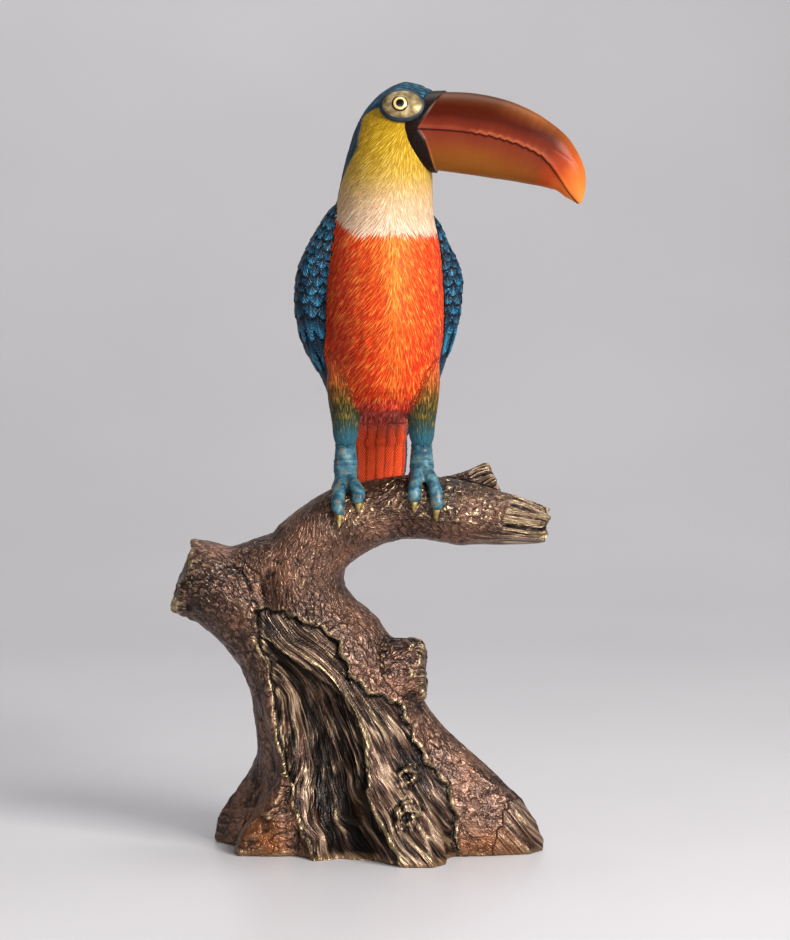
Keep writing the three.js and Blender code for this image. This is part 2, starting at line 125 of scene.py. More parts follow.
class Limb:
    """An ellipse carried along a curve. A station is a point, a half-width and a half-depth, in
    millimetres, and the depth lies along the across direction."""

    SAMPLES = 120
    STEP = 1e-4
    BLOCK = 20000

    def __init__(self, stations, across=(0.0, 1.0, 0.0)):
        self.middle = [s[0] for s in stations]
        self.girth = [(s[1], s[2], 0.0) for s in stations]
        self.across = np.array(across, float)
        self.shares = np.linspace(0, 1, self.SAMPLES)
        self.centres = catmull(self.middle, self.shares)
        self.slopes = np.gradient(self.centres, self.shares, axis=0)
        steps = np.linalg.norm(np.diff(self.centres, axis=0), axis=1)
        self.lengths = np.concatenate([[0], np.cumsum(steps)])

    def frame(self, share):
        """Middle, direction, wide way, deep way and the two half-sizes at each share."""
        later = np.minimum(share + self.STEP, 1)
        earlier = np.maximum(later - 2 * self.STEP, 0)
        along = unit(catmull(self.middle, later) - catmull(self.middle, earlier))
        wide_way = unit(np.cross(np.broadcast_to(self.across, along.shape), along))
        deep_way = np.cross(along, wide_way)
        return catmull(self.middle, share), along, wide_way, deep_way, catmull(self.girth, share)

    def surface(self, share, angle, lift=0.0):
        """Points of the surface, and the way out of the limb there."""
        centre, _, wide_way, deep_way, girth = self.frame(share)
        out = wide_way * (np.cos(angle) * girth[:, 0])[:, None]
        out = out + deep_way * (np.sin(angle) * girth[:, 1])[:, None]
        reach = np.linalg.norm(out, axis=1, keepdims=True)
        away = out / np.maximum(reach, 1e-9)
        return centre + away * np.maximum(reach + np.reshape(lift, (-1, 1)), 0.05), away

    def seat(self, points):
        """Where points lie on the limb: share of it, length along it, angle round it and height over
        its surface."""
        nearest = np.empty(len(points), int)
        for start in range(0, len(points), self.BLOCK):
            block = slice(start, start + self.BLOCK)
            gap = points[block, None, :] - self.centres[None]
            nearest[block] = (gap * gap).sum(2).argmin(1)
        slope = self.slopes[nearest]
        step = ((points - self.centres[nearest]) * slope).sum(1) / np.maximum((slope * slope).sum(1), 1e-9)
        share = np.clip(self.shares[nearest] + step, 0, 1)
        centre, along, wide_way, deep_way, girth = self.frame(share)
        out = points - centre
        wide, deep = (out * wide_way).sum(1), (out * deep_way).sum(1)
        rise = (out * along).sum(1)
        ratio = np.hypot(wide / np.maximum(girth[:, 0], 0.1), deep / np.maximum(girth[:, 1], 0.1))
        reach = np.hypot(wide, deep)
        height = (ratio - 1) * reach / np.maximum(ratio, 1e-3)
        height = np.where(np.abs(rise) > 0.3, np.hypot(np.maximum(height, 0), rise), height)
        angle = np.arctan2(deep / np.maximum(girth[:, 1], 0.1), wide / np.maximum(girth[:, 0], 0.1))
        return share, np.interp(share, self.shares, self.lengths), angle, height

    def share_at(self, x, angle, start):
        """The share past start where the surface at that angle passes x."""
        shares = np.arange(start, 1, 0.002)
        found, _ = self.surface(shares, np.full(len(shares), angle))
        return shares[np.abs(found[:, 0] - x).argmin()]


TRUNK_STATIONS = [
    ((-8, -4, -14), 58, 45), ((-8, -4, 8), 58, 45), ((-10, -3, 34), 58, 44), ((-17, -1, 62), 57, 43),
    ((-27, 0, 93), 55, 42), ((-38, 0, 124), 49, 39), ((-49, 0, 152), 38.5, 35), ((-50, 0, 177), 30.5, 31),
    ((-39.5, 0, 199), 25.5, 28), ((-18, 0, 215), 22.5, 25), ((12, 0, 223), 20.5, 22),
    ((46, -1, 222), 21, 21.5), ((78, -2, 216), 17.5, 19), ((98, -3, 213), 13.5, 15.5),
    ((109, -3, 212), 10.5, 12),
]
BRANCH_FROM = 9 / 14
trunk = Limb(TRUNK_STATIONS)
cut_limb = Limb([
    ((-40, 2, 62), 28, 28), ((-52, 1, 98), 29, 31), ((-66, 0, 134), 28.5, 31), ((-86, 0, 160), 29.5, 30),
    ((-106, 0, 172.5), 27.5, 28.5), ((-120, 0, 175.5), 25.5, 26), ((-130, 0, 176), 22, 22),
])
knob = Limb([
    ((-24, -6, 98), 25, 22), ((0, -8, 112), 25, 22), ((18, -9, 117), 23, 21), ((31, -10, 117.5), 19.5, 17),
])
snag = Limb([
    ((26, 8, 224), 14, 11), ((50, 12, 231), 13, 10), ((64, 14, 236), 12, 9.5), ((76, 15, 241.5), 10, 8.5),
])


def turned(x, y, z, turn):
    c, s = math.cos(turn), math.sin(turn)
    return np.array([x * c - y * s, x * s + y * c, z])


def on_body(right, back, up):
    return turned(right, back, up, BODY_TURN) + BODY_OFFSET + PERCH


def on_perch(right, back, up):
    return np.array([right, back, up]) + PERCH


def on_beak(ahead, up, aside=0.0):
    return turned(ahead, aside, 0, -BEAK_TURN) + (*BEAK_ROOT, up) + PERCH


def from_beak(x, y):
    """How far points lie ahead of the beak's root, and aside from its middle."""
    right, back = x - PERCH[0] - BEAK_ROOT[0], y - BEAK_ROOT[1]
    c, s = math.cos(BEAK_TURN), math.sin(BEAK_TURN)
    return right * c - back * s, right * s + back * c


BACK_WAY = turned(0, 1, 0, BODY_TURN)
BEAK_SIDE = turned(0, 1, 0, -BEAK_TURN)

body = Limb([
    (on_body(0, 3, 42), 9, 10), (on_body(0, 2, 45), 21, 22), (on_body(0, 0, 54), 31, 33),
    (on_body(0, -1, 74), 36, 40), (on_body(0, -1, 100), 38, 43), (on_body(0, 0, 128), 37.5, 42),
    (on_body(0, 0, 150), 35.5, 38), (on_body(0, -1, 168), 32, 32), (on_body(1, -4, 188), 29.8, 28),
    (on_body(3, -6, 206), 27.5, 27), (on_body(7, -7, 222), 25.5, 25), (on_body(13.5, -7, 236), 20.5, 22),
    (on_body(19, -7, 244.5), 14.5, 16), (on_body(23, -7, 249.5), 8.5, 9), (on_body(24.5, -7, 252), 1, 1),
], BACK_WAY)


def wing(side):
    places = [
        (23, 3, 180, 2.5, 5), (27, 7, 168, 8.5, 15), (29.5, 14, 150, 14, 26), (32.5, 20, 128, 16, 32),
        (32.5, 22, 108, 16, 32), (31, 25, 86, 14, 27), (28, 29, 66, 11, 22), (24, 34, 48, 8, 15),
        (20, 39, 32, 5, 9), (17, 42, 18, 2, 4),
    ]
    drops = (6, 6, 4.2, 0, 0, 0, 0, 0, 0, 0) if side > 0 else (0,) * 10
    swells = (0, 0, -1, -1, -2, -3, -2.5, -1, 0, 0) if side > 0 else (0, 0, 1, 3.5, 4, 1, -4, -4.5, -3, -2)
    stations = [
        (on_body(side * (right + swell), back, up - drop), wide, deep)
        for (right, back, up, wide, deep), drop, swell in zip(places, drops, swells)
    ]
    return Limb(stations, turned(*BACK_WAY, math.radians(28 * side)))


tail = Limb([
    (on_body(0, 12, 64), 17, 16), (on_body(0, 17, 48), 20, 14.5), (on_body(1, 23, 34), 20, 10),
    (on_body(2, 31, 22), 18.5, 5), (on_body(3, 36, 8), 18.5, 4), (on_body(3, 39, -8), 17, 3),
    (on_body(3, 40, -16), 11, 2),
], BACK_WAY)


def thigh(right):
    return Limb([
        (on_perch(right * 0.96, -1, 84), 10, 12), (on_perch(right, -5, 66), 13, 15),
        (on_perch(right, -6, 50), 11.5, 12.5), (on_perch(right, -5, 36), 9, 9.5),
        (on_perch(right, -4, 24), 7.8, 8), (on_perch(right, -3, 20), 6, 6),
    ])


def shank(right):
    r = SHANK_RADIUS
    return Limb([
        (on_perch(right, -4, 30), r, r * 0.9), (on_perch(right, -3.5, 16), r, r * 0.95),
        (on_perch(right, -3, 6), r * 1.15, r * 1.1), (on_perch(right, -2, -3), r, r),
    ])


def toe_and_claw(start, end, side, bend):
    """A toe laid over the branch from its top, and the claw that follows it. start and end are across
    from the perch, side is 1 to the front, and bend is in degrees round the branch."""

    def reach(share, lift):
        x = PERCH[0] + start + (end - start) * min(share * 1.4, 1)
        angle = -math.pi + side * math.radians(bend * share)
        where = trunk.share_at(x, angle, BRANCH_FROM - 0.1)
        return trunk.surface(np.array([where]), np.array([angle]), lift)[0][0]

    lift = TOE_RADIUS * 0.75
    path = [(reach(0, 7), TOE_RADIUS * 0.9, TOE_RADIUS)]
    for share, girth in ((0.25, 1.12), (0.5, 1), (0.78, 1.04), (0.97, 1), (1, 0.8)):
        path.append((reach(share, lift * girth), TOE_RADIUS * girth, TOE_RADIUS * girth))
    horn = [
        (reach(share, CLAW_RADIUS * 0.9), CLAW_RADIUS * girth, CLAW_RADIUS * girth)
        for share, girth in ((0.96, 1), (1.08, 0.85), (1.2, 0.5), (1.27, 0.12))
    ]
    return Limb(path, (1, 0, 0)), Limb(horn, (1, 0, 0))


LEFT_FOOT, RIGHT_FOOT = -24.5, 24.8
TOE_PLACES = [
    (LEFT_FOOT, -4, 1, 69), (LEFT_FOOT, 9, 1, 64), (LEFT_FOOT, -6, -1, 62), (LEFT_FOOT, 6, -1, 66),
    (RIGHT_FOOT, -4.5, 1, 74), (RIGHT_FOOT, 9.5, 1, 84), (RIGHT_FOOT, -6, -1, 62), (RIGHT_FOOT, 6, -1, 66),
]
toes, claws = zip(*[toe_and_claw(at, at + offset, side, bend) for at, offset, side, bend in TOE_PLACES])

beak = Limb([
    (on_beak(-8, 221), 15, 14), (on_beak(2, 222), 22, 19.5), (on_beak(12, 222.5), 24, 20),
    (on_beak(24, 222), 25.4, 18.5), (on_beak(44, 220.2), 26.2, 16.5), (on_beak(63, 216.5), 25.5, 15),
    (on_beak(80, 211), 23, 13.5), (on_beak(95.5, 203), 19, 11.5), (on_beak(106.5, 193), 13, 9),
    (on_beak(112, 183.5), 7, 6), (on_beak(115, 176.5), 1.2, 1.5),
], BEAK_SIDE)


# Noise, in cells

VALUES = 4096


def value_number(cell):
    """Which of the random values belongs to each cell."""
    return (cell * (73856093, 19349663, 83492791)).sum(1) & (VALUES - 1)


def lump_noise(place, seed):
    """Smooth noise from -1 to 1, with one random value at each cell's corner."""
    values = np.random.RandomState(seed).uniform(-1, 1, VALUES)
    cell = np.floor(place).astype(np.int64)
    part = place - cell
    part = part * part * (3 - 2 * part)
    total = np.zeros(len(place))
    for corner in itertools.product((0, 1), repeat=3):
        total += values[value_number(cell + corner)] * np.where(corner, part, 1 - part).prod(1)
    return total


def drawn_noise(across, along, width, length, seed, shift=0.0):
    """Noise drawn out over a surface, in lumps of that width and length in millimetres."""
    return lump_noise(np.stack([across / width, along / length, 0 * across], 1) + shift, seed)


def cell_noise(place, seed):
    """Distance to the nearest of one random point in each cell."""
    values = np.random.RandomState(seed).uniform(0.1, 0.9, (VALUES, 3))
    cell = np.floor(place).astype(np.int64)
    nearest = np.full(len(place), 9.0)
    for corner in itertools.product((-1, 0, 1), repeat=3):
        there = cell + corner
        nearest = np.minimum(nearest, np.linalg.norm(there + values[value_number(there)] - place, axis=1))
    return nearest


def smooth_step(low, high, value):
    x = np.clip((value - low) / (high - low), 0, 1)
    return x * x * (3 - 2 * x)


# Mesh work

def link(mesh, name):
    piece = bpy.data.objects.new(name, mesh)
    bpy.context.scene.collection.objects.link(piece)
    return piece


def new_piece(name, bm):
    mesh = bpy.data.meshes.new(name)
    bm.to_mesh(mesh)
    bm.free()
    return link(mesh, name)


def points_of(piece):
    flat = np.empty(len(piece.data.vertices) * 3, np.float32)
    piece.data.vertices.foreach_get("co", flat)
    return flat.reshape(-1, 3).astype(float) / MM


def put_points(piece, points):
    piece.data.vertices.foreach_set("co", (points * MM).astype(np.float32).ravel())
    piece.data.update()


def normals_of(piece):
    flat = np.empty(len(piece.data.vertices) * 3, np.float32)
    piece.data.vertex_normals.foreach_get("vector", flat)
    return flat.reshape(-1, 3).astype(float)


def around(piece, values, rounds=1):
    """Each vertex's values averaged over its neighbours, so many times."""
    a, b = read_whole(piece.data.edges, "vertices", 2).reshape(-1, 2).T
    size = len(piece.data.vertices)
    count = np.maximum(np.bincount(a, minlength=size) + np.bincount(b, minlength=size), 1)
    rows = values.reshape(size, -1)
    for _ in range(rounds):
        rows = np.stack([
            (np.bincount(a, column[b], size) + np.bincount(b, column[a], size)) / count for column in rows.T
        ], 1)
    return rows.reshape(values.shape)


def keep_values(piece, **named):
    """Stores a number or a vector on each vertex under each name, for the materials to read."""
    for name, values in named.items():
        kind, field = ("FLOAT", "value") if values.ndim == 1 else ("FLOAT_VECTOR", "vector")
        attribute = piece.data.attributes.new(name, kind, "POINT")
        attribute.data.foreach_set(field, values.astype(np.float32).ravel())


def read_whole(rows, field, width=1):
    """One field of every row of a mesh, as whole numbers."""
    flat = np.empty(len(rows) * width, np.int32)
    rows.foreach_get(field, flat)
    return flat


def remeshed(node, name, grain, change=None):
    """A copy of a casting on an even grid of small faces, ready for its relief."""
    bm = bmesh.new()
    bm.from_mesh(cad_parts[node].data)
    bmesh.ops.remove_doubles(bm, verts=bm.verts, dist=1e-6)
    if change:
        change(bm)
    rough = new_piece(name + "_rough", bm)
    grid = rough.modifiers.new("grid", "REMESH")
    grid.mode = "VOXEL"
    grid.voxel_size = grain * MM
    ready = rough.evaluated_get(bpy.context.evaluated_depsgraph_get())
    mesh = bpy.data.meshes.new_from_object(ready)
    mesh.name = name
    bpy.data.objects.remove(rough)
    piece = link(mesh, name)
    mesh.polygons.foreach_set("use_smooth", [True] * len(mesh.polygons))
    return piece


def bent_cylinder(limb, sides, rings, shape=None, spread=1.0):
    """A cylinder bent to a limb, with the share and angle of each vertex. shape gives a lift for shares
    and angles."""
    bm = bmesh.new()
    bmesh.ops.create_cone(bm, segments=sides, radius1=1, radius2=1, depth=1, cap_ends=True, cap_tris=False)
    sides_only = [e for e in bm.edges if abs(e.verts[0].co.z - e.verts[1].co.z) > 0.5]
    bmesh.ops.subdivide_edges(bm, edges=sides_only, cuts=rings - 1, use_grid_fill=False)
    for face in bm.faces:
        face.smooth = True
    flat = np.array([v.co for v in bm.verts])
    share = (flat[:, 2] + 0.5) ** spread
    angle = np.arctan2(flat[:, 1], flat[:, 0])
    points, _ = limb.surface(share, angle, shape(share, angle) if shape else 0.0)
    for vertex, point in zip(bm.verts, points):
        vertex.co = point * MM
    bmesh.ops.recalc_face_normals(bm, faces=bm.faces)
    return bm, share, angle


# Materials

def made_material(name, finish):
    """A material whose finish gets the function that adds its nodes, and gives its shader's values."""
    material = bpy.data.materials.new(name)
    material.use_nodes = True
    material.node_tree.nodes.clear()
    add = functools.partial(add_node, material.node_tree)
    add("OutputMaterial", {"Surface": add("BsdfPrincipled", finish(add))})
    return material


def kept(add, *names):
    """The values of one number that the mesh work left under these names."""
    return [add("Attribute", out="Fac", attribute_name=name) for name in names]


def coats(add, base, *layers):
    """Coats of paint over a base. Each is a value, where along it the coat begins and where it is full,
    how far it covers there, and its colour."""
    for value, begin, full, cover, tint in layers:
        share = add("MapRange", {0: value, 1: begin, 2: full, 4: cover})
        base = add("Mix", {0: share, 6: base, 7: tint}, out=2, data_type="RGBA")
    return base


def mottle(add, size, detail, out="Fac"):
    """Cloudy blotches through the solid, that many millimetres across."""
    place = add("TexCoord", out="Object")
    return add("TexNoise", {"Vector": place, "Scale": 1 / (size * MM), "Detail": detail}, out=out)


def ridges(add, flow, steps, detail, low):
    """Winding ridges along a flow. The steps are their width, their length and their change in depth.
    Gives the noise too, for edges that wander with it."""
    place = add("Mapping", {"Vector": flow, "Scale": tuple(1 / step for step in steps)})
    noise = add("TexNoise", {"Vector": place, "Scale": 1.0, "Detail": detail}, out="Fac")
    folded = add("Math", {0: noise, 1: 0.5}, operation="PINGPONG")
    return noise, add("MapRange", {0: folded, 1: low, 2: 0.5})


def strokes(add, width, length):
    """Noise drawn out into strokes of that width and length in millimetres. The plume attribute gives
    the place across and along the feathers and how far they lean. The lean is taken afresh in each of
    two sets of bands, which fade into each other. The squares of the two fades add up to one."""
    band_height = 14.0
    flow = add("Attribute", out="Vector", attribute_name="plume")
    across, along, lean = add("SeparateXYZ", {0: flow}, out=slice(3))
    total = 0.0
    for phase in (0.0, 0.5):
        place = add("Math", {0: along, 1: 1 / band_height, 2: phase}, operation="MULTIPLY_ADD")
        band = add("Math", {0: place}, operation="FLOOR")
        off = add("Math", {0: add("Math", {0: place}, operation="FRACT"), 1: 0.5}, operation="SUBTRACT")
        slide = add("Math", {0: off, 1: lean}, operation="MULTIPLY")
        aside = add("Math", {0: slide, 1: band_height, 2: across}, operation="MULTIPLY_ADD")
        spot = add("CombineXYZ", {
            0: add("Math", {0: aside, 1: width}, operation="DIVIDE"),
            1: add("Math", {0: along, 1: length}, operation="DIVIDE"),
            2: add("Math", {0: band, 1: 7.3, 2: 3.7 * phase}, operation="MULTIPLY_ADD"),
        })
        noise = add("TexNoise", {"Vector": spot, "Scale": 1.0, "Detail": 1.0}, out="Fac")
        noise = add("Math", {0: noise, 1: 0.5}, operation="SUBTRACT")
        fade = add("Math", {0: place, 1: math.pi}, operation="MULTIPLY")
        fade = add("Math", {0: fade}, operation="SINE")
        fade = add("Math", {0: fade}, operation="ABSOLUTE")
        total = add("Math", {0: noise, 1: fade, 2: total}, operation="MULTIPLY_ADD")
    return add("MapRange", {0: total, 1: -0.16, 2: 0.16})


def feather_enamel(add):
    """Satin enamel brushed over cast plumage: each raised stroke of the modelling takes a lighter
    glaze, and the grooves between keep a darker one."""
    fine = strokes(add, 0.52, 5.5)
    broad = strokes(add, 2.8, 16.0)
    height, spread, thigh_edge, bib_edge, crown_edge, tone = kept(
        add, "height", "spread", "thigh_edge", "bib_edge", "crown_edge", "tone")
    level = add("Math", {0: fine, 1: 8.0, 2: height}, operation="MULTIPLY_ADD")

    # Cream on the bib, turning to yellow on the face
    up_face = add("MapRange", {0: level, 1: 402.0, 2: 484.0})
    face = add("ValToRGB", {0: up_face}, stops=(
        (0.0, "#dcbea6"), (0.3, "#d6b284"), (0.5, "#c49e38"), (0.7, "#ba9210"), (1.0, "#ae8808")))
    groove = add("ValToRGB", {0: up_face}, stops=((0.2, "#a87048"), (0.6, "#7c560c")))
    gloss = add("ValToRGB", {0: up_face}, stops=((0.2, "#f6e4d6"), (0.5, "#ecd48c"), (0.9, "#e4c83c")))
    face = coats(add, face, (fine, 0.42, 0.05, 0.5, groove), (fine, 0.6, 0.95, 0.5, gloss))

    # Orange down the middle of the belly, turning to red at its sides and foot
    reddening = add("Math", {0: height, 1: -0.15, 2: spread}, operation="MULTIPLY_ADD")
    reddening = add("Math", {0: fine, 1: 5.0, 2: reddening}, operation="MULTIPLY_ADD")
    warm = add("ValToRGB", {0: add("MapRange", {0: reddening, 1: -55.0, 2: -18.0})}, stops=(
        (0.0, "#dc8230"), (0.25, "#e06420"), (0.55, "#e44618"), (1.0, "#d83214")))
    warm = coats(
        add, warm,
        (fine, 0.58, 0.95, 0.65, "#f8ac4c"), (fine, 0.42, 0.08, 0.7, "#9c1808"),
        (broad, 0.4, 0.1, 0.3, "#cc3018"),
    )
    down = add("ValToRGB", {0: fine}, stops=((0.1, "#8c1a14"), (0.5, "#c43a28"), (0.9, "#e87054")))
    warm = coats(add, warm, (level, 301.0, 295.0, 1.0, down))

    # Each thigh is orange above, dark olive with ochre flecks in the middle and blue at the ankle
    up_thigh = add("Math", {0: fine, 1: 16.0, 2: height}, operation="MULTIPLY_ADD")
    up_thigh = add("MapRange", {0: up_thigh, 1: 272.0, 2: 334.0})
    thigh_tone = add("ValToRGB", {0: up_thigh}, stops=(
        (0.0, "#3a7080"), (0.1, "#2c6272"), (0.2, "#26484a"), (0.36, "#2c3a1c"), (0.56, "#6c4618"),
        (0.76, "#b8501c"), (1.0, "#e04c1c")))
    fleck = add("ValToRGB", {0: up_thigh}, stops=(
        (0.2, "#4a8490"), (0.34, "#988438"), (0.6, "#b88a3c"), (0.9, "#ee8a48")))
    thigh_tone = coats(add, thigh_tone, (fine, 0.6, 0.9, 0.6, fleck), (fine, 0.35, 0.05, 0.4, "#1a200e"))
    on_thigh = add("MapRange", {0: thigh_edge, 1: -3.0, 2: 3.0})
    low = add("MapRange", {0: level, 1: 332.0, 2: 314.0})
    on_thigh = add("Math", {0: on_thigh, 1: low}, operation="MULTIPLY")
    bib = add("Math", {0: fine, 1: 4.5, 2: bib_edge}, operation="MULTIPLY_ADD")
    crown = add("Math", {0: fine, 1: 3.0, 2: crown_edge}, operation="MULTIPLY_ADD")
    blue = add("ValToRGB", {0: fine}, stops=((0.15, "#030a10"), (0.55, "#0c2c3e"), (0.95, "#1f7490")))
    painted = coats(
        add, warm,
        (on_thigh, 0.0, 1.0, 1.0, thigh_tone), (bib, 0.6, 3.9, 1.0, face), (crown, 0.9, 2.1, 1.0, blue),
        (tone, 0.0, -0.8, 0.3, "#3c180c"),
    )
    return {
        "Base Color": painted, "Roughness": 0.46, "Specular IOR Level": 0.3,
        "Normal": add("Bump", {"Height": fine, "Distance": 0.5 * MM}),
    }


def barbs(add, slant, pitch):
    """Fine ribs that leave a feather's shaft at a slant, and the shaft itself."""
    flow = add("Attribute", out="Vector", attribute_name="plume")
    across, along = add("SeparateXYZ", {0: flow}, out=slice(2))
    aside = add("Math", {0: across}, operation="ABSOLUTE")
    wobble = mottle(add, 4.5, 1.0)
    run = add("Math", {0: aside, 1: slant, 2: along}, operation="MULTIPLY_ADD")
    run = add("Math", {0: wobble, 1: 2.0, 2: run}, operation="MULTIPLY_ADD")
    wave = add("Math", {0: run, 1: 2 * math.pi / pitch}, operation="MULTIPLY")
    wave = add("Math", {0: wave}, operation="SINE")
    ribs = add("MapRange", {0: add("Math", {0: wave, 1: wobble}), 1: -0.5, 2: 1.5})
    shaft = add("MapRange", {0: aside, 1: 0.9, 2: 0.4})
    return ribs, shaft


def wing_enamel(add):
    """Dark blue enamel with a lighter blue dragged over the raised barbs, so the grooves stay black. Its
    tone carries a painted highlight on each feather's tip and a painted shadow under the tip above.
    """
    ribs, shaft = barbs(add, 1.9, 2.4)
    tone, = kept(add, "tone")
    cloud = mottle(add, 11.0, 3.0)
    raised = add("MapRange", {0: tone, 1: -0.4, 2: 1.0})
    lit = add("Math", {0: ribs, 1: 0.3, 2: raised}, operation="MULTIPLY_ADD")
    lit = add("Math", {0: cloud, 1: 0.7, 2: lit}, operation="MULTIPLY_ADD")
    lit = add("Math", {0: shaft, 1: 0.16, 2: lit}, operation="MULTIPLY_ADD")
    painted = add("ValToRGB", {0: add("MapRange", {0: lit, 1: 0.35, 2: 1.5})}, stops=(
        (0.1, "#010508"), (0.45, "#051c2c"), (0.8, "#0c4058"), (1.0, "#2c7c9c")))
    # Near black where the tone is low: the grooves, and the painted shadow under each tip.
    painted = coats(add, painted, (tone, -0.1, -0.7, 1.0, "#020406"))
    return {
        "Base Color": painted, "Roughness": 0.4, "Specular IOR Level": 0.4,
        "Normal": add("Bump", {"Height": add("Math", {0: ribs, 1: shaft}, operation="MAXIMUM"),
                               "Distance": 0.35 * MM}),
    }


def tail_enamel(add):
    """Red and orange enamel on the long tail feathers, crimson on the down at their root."""
    ribs, shaft = barbs(add, -1.5, 2.1)
    fine = strokes(add, 0.95, 6.0)
    height, spread, back_side, tone = kept(add, "height", "spread", "back_side", "tone")
    down = add("ValToRGB", {0: fine}, stops=((0.1, "#8c1a16"), (0.5, "#c43c2c"), (0.9, "#ea7860")))
    long = add("ValToRGB", {0: ribs}, stops=((0.05, "#d8140a"), (0.5, "#f62c14"), (0.9, "#ff8438")))
    edge = add("Math", {0: fine, 1: 8.0, 2: height}, operation="MULTIPLY_ADD")
    blue = add("ValToRGB", {0: ribs}, stops=((0.0, "#0a1c26"), (1.0, "#1f5f7a")))
    painted = coats(
        add, long,
        (shaft, 0.0, 1.0, 0.4, "#ff5a2c"), (tone, -0.2, -0.9, 0.35, "#8a1408"),
        (edge, 275.0, 279.0, 1.0, down), (spread, 16.0, 17.0, 1.0, blue), (back_side, 0.1, 0.3, 1.0, blue),
    )
    return {
        "Base Color": painted, "Roughness": 0.42,
        "Normal": add("Bump", {"Height": ribs, "Distance": 0.45 * MM}),
    }


def leg_enamel(add):
    """Blue-green enamel on the scaled shanks and toes, rubbed brown where the scales stand out."""
    tone, = kept(add, "tone")
    cloud = mottle(add, 6.0, 4.0)
    base = add("ValToRGB", {0: cloud}, stops=((0.35, "#1c4254"), (0.5, "#336474"), (0.68, "#648c92")))
    worn = mottle(add, 3.0, 3.0)
    base = coats(add, base, (worn, 0.54, 0.64, 0.8, "#7a6240"), (tone, 0.1, -0.7, 0.7, "#10262e"))
    return {
        "Base Color": base, "Roughness": 0.42,
        "Normal": add("Bump", {"Height": cloud, "Distance": 0.3 * MM}),
    }


def bare_brass(add, dull="#6c5a38", plain="#a08c58", bright="#d0bc88"):
    """Brass left bare, bright on the claws, and gone brown and dull in its hollows."""
    cloud = mottle(add, 4.0, 4.0)
    tint = add("ValToRGB", {0: cloud}, stops=((0.3, dull), (0.5, plain), (0.7, bright)))
    return {
        "Base Color": tint, "Metallic": 0.6, "Roughness": 0.5,
        "Normal": add("Bump", {"Height": cloud, "Distance": 0.12 * MM}),
    }


def aged_brass(add):
    """The same brass round the eyes, where years of wax have browned it."""
    return bare_brass(add, "#56482f", "#80704f", "#a89670")


def beak_enamel(add):
    """Copper and tan lacquer sprayed in soft blends over the smooth beak, with a wax shine, and a
    painted highlight over the front of the upper mandible's top.
    """
    along, mouth, tooth, collar, brow = kept(add, "along", "mouth", "tooth", "collar", "brow")
    cloud = mottle(add, 26.0, 3.0)
    grit = mottle(add, 1.4, 3.0)
    rise = add("Math", {0: cloud, 1: 9.0, 2: mouth}, operation="MULTIPLY_ADD")
    # Above the mouth: copper by the edge, then red-brown, and bronze over the top
    upper = add("ValToRGB", {0: add("MapRange", {0: rise, 1: 4.5, 2: 29.5})}, stops=(
        (0.0, "#86402c"), (0.14, "#6c2812"), (0.4, "#4c1606"), (0.66, "#481806"), (0.85, "#52280a"),
        (1.0, "#4c2a0e")))
    # Below it: copper by the edge, tan underneath
    lower = add("ValToRGB", {0: add("MapRange", {0: rise, 1: 4.5, 2: -19.5})}, stops=(
        (0.0, "#6e2c1c"), (0.3, "#7a3a22"), (0.6, "#864c1e"), (1.0, "#8c5a24")))
    run = add("Math", {0: cloud, 1: 8.0, 2: along}, operation="MULTIPLY_ADD")
    band = add("Math", {0: mouth, 1: 0.6})
    band = add("Math", {0: band}, operation="ABSOLUTE")
    dark = add("ValToRGB", {0: grit}, stops=((0.3, "#120b09"), (0.7, "#2a1c17")))
    blue = add("ValToRGB", {0: grit}, stops=((0.3, "#061018"), (0.7, "#164860")))
    # A tan painted highlight over the top of the upper mandible, towards the front.
    top_painted_highlight = add("Math", {0: add("MapRange", {0: run, 1: 70.0, 2: 100.0}),
                           1: add("MapRange", {0: rise, 1: 16.0, 2: 26.0})}, operation="MULTIPLY")
    base = add("Mix", {0: add("MapRange", {0: mouth, 1: -0.3, 2: 0.3}), 6: lower, 7: upper},
               out=2, data_type="RGBA")
    base = coats(
        add, base,
        (run, 107.0, 127.0, 0.8, "#bc4c1c"), (top_painted_highlight, 0.0, 1.0, 0.55, "#a86834"),
        (run, 120.0, 140.0, 0.9, "#d88440"), (tooth, 0.2, 0.9, 0.5, "#b86c44"),
        (band, 0.7, 0.25, 0.8, "#2c0e06"), (collar, 0.35, 0.65, 1.0, dark), (brow, 0.0, 1.0, 1.0, blue),
    )
    return {
        "Base Color": base, "Roughness": 0.36, "Specular IOR Level": 0.15,
        "Normal": add("Bump", {"Height": grit, "Distance": 0.04 * MM}),
    }


def eye_paint(add):
    """Gloss paint on the eyeball: a brass lid round a black rim, a cream iris and a black pupil."""
    iris, = kept(add, "iris")
    paint = add("ValToRGB", {0: iris}, stops=(
        (0.0, "#060606"), (0.36, "#060606"), (0.4, "#6a5024"), (0.46, "#cdb87c"), (0.62, "#cdb87c"),
        (0.68, "#84683a"), (0.71, "#0a0a0a"), (0.82, "#0a0a0a"), (0.86, "#b89c64")))
    return {
        "Base Color": paint, "Metallic": add("MapRange", {0: iris, 1: 0.83, 2: 0.86, 4: 0.7}),
        "Roughness": 0.22,
    }


def eye_outline(add):
    """Blue-black enamel in the groove round the bare patch."""
    cloud = mottle(add, 3.3, 2.0)
    return {
        "Base Color": add("ValToRGB", {0: cloud}, stops=((0.3, "#08141c"), (0.7, "#163040"))),
        "Roughness": 0.5,
    }


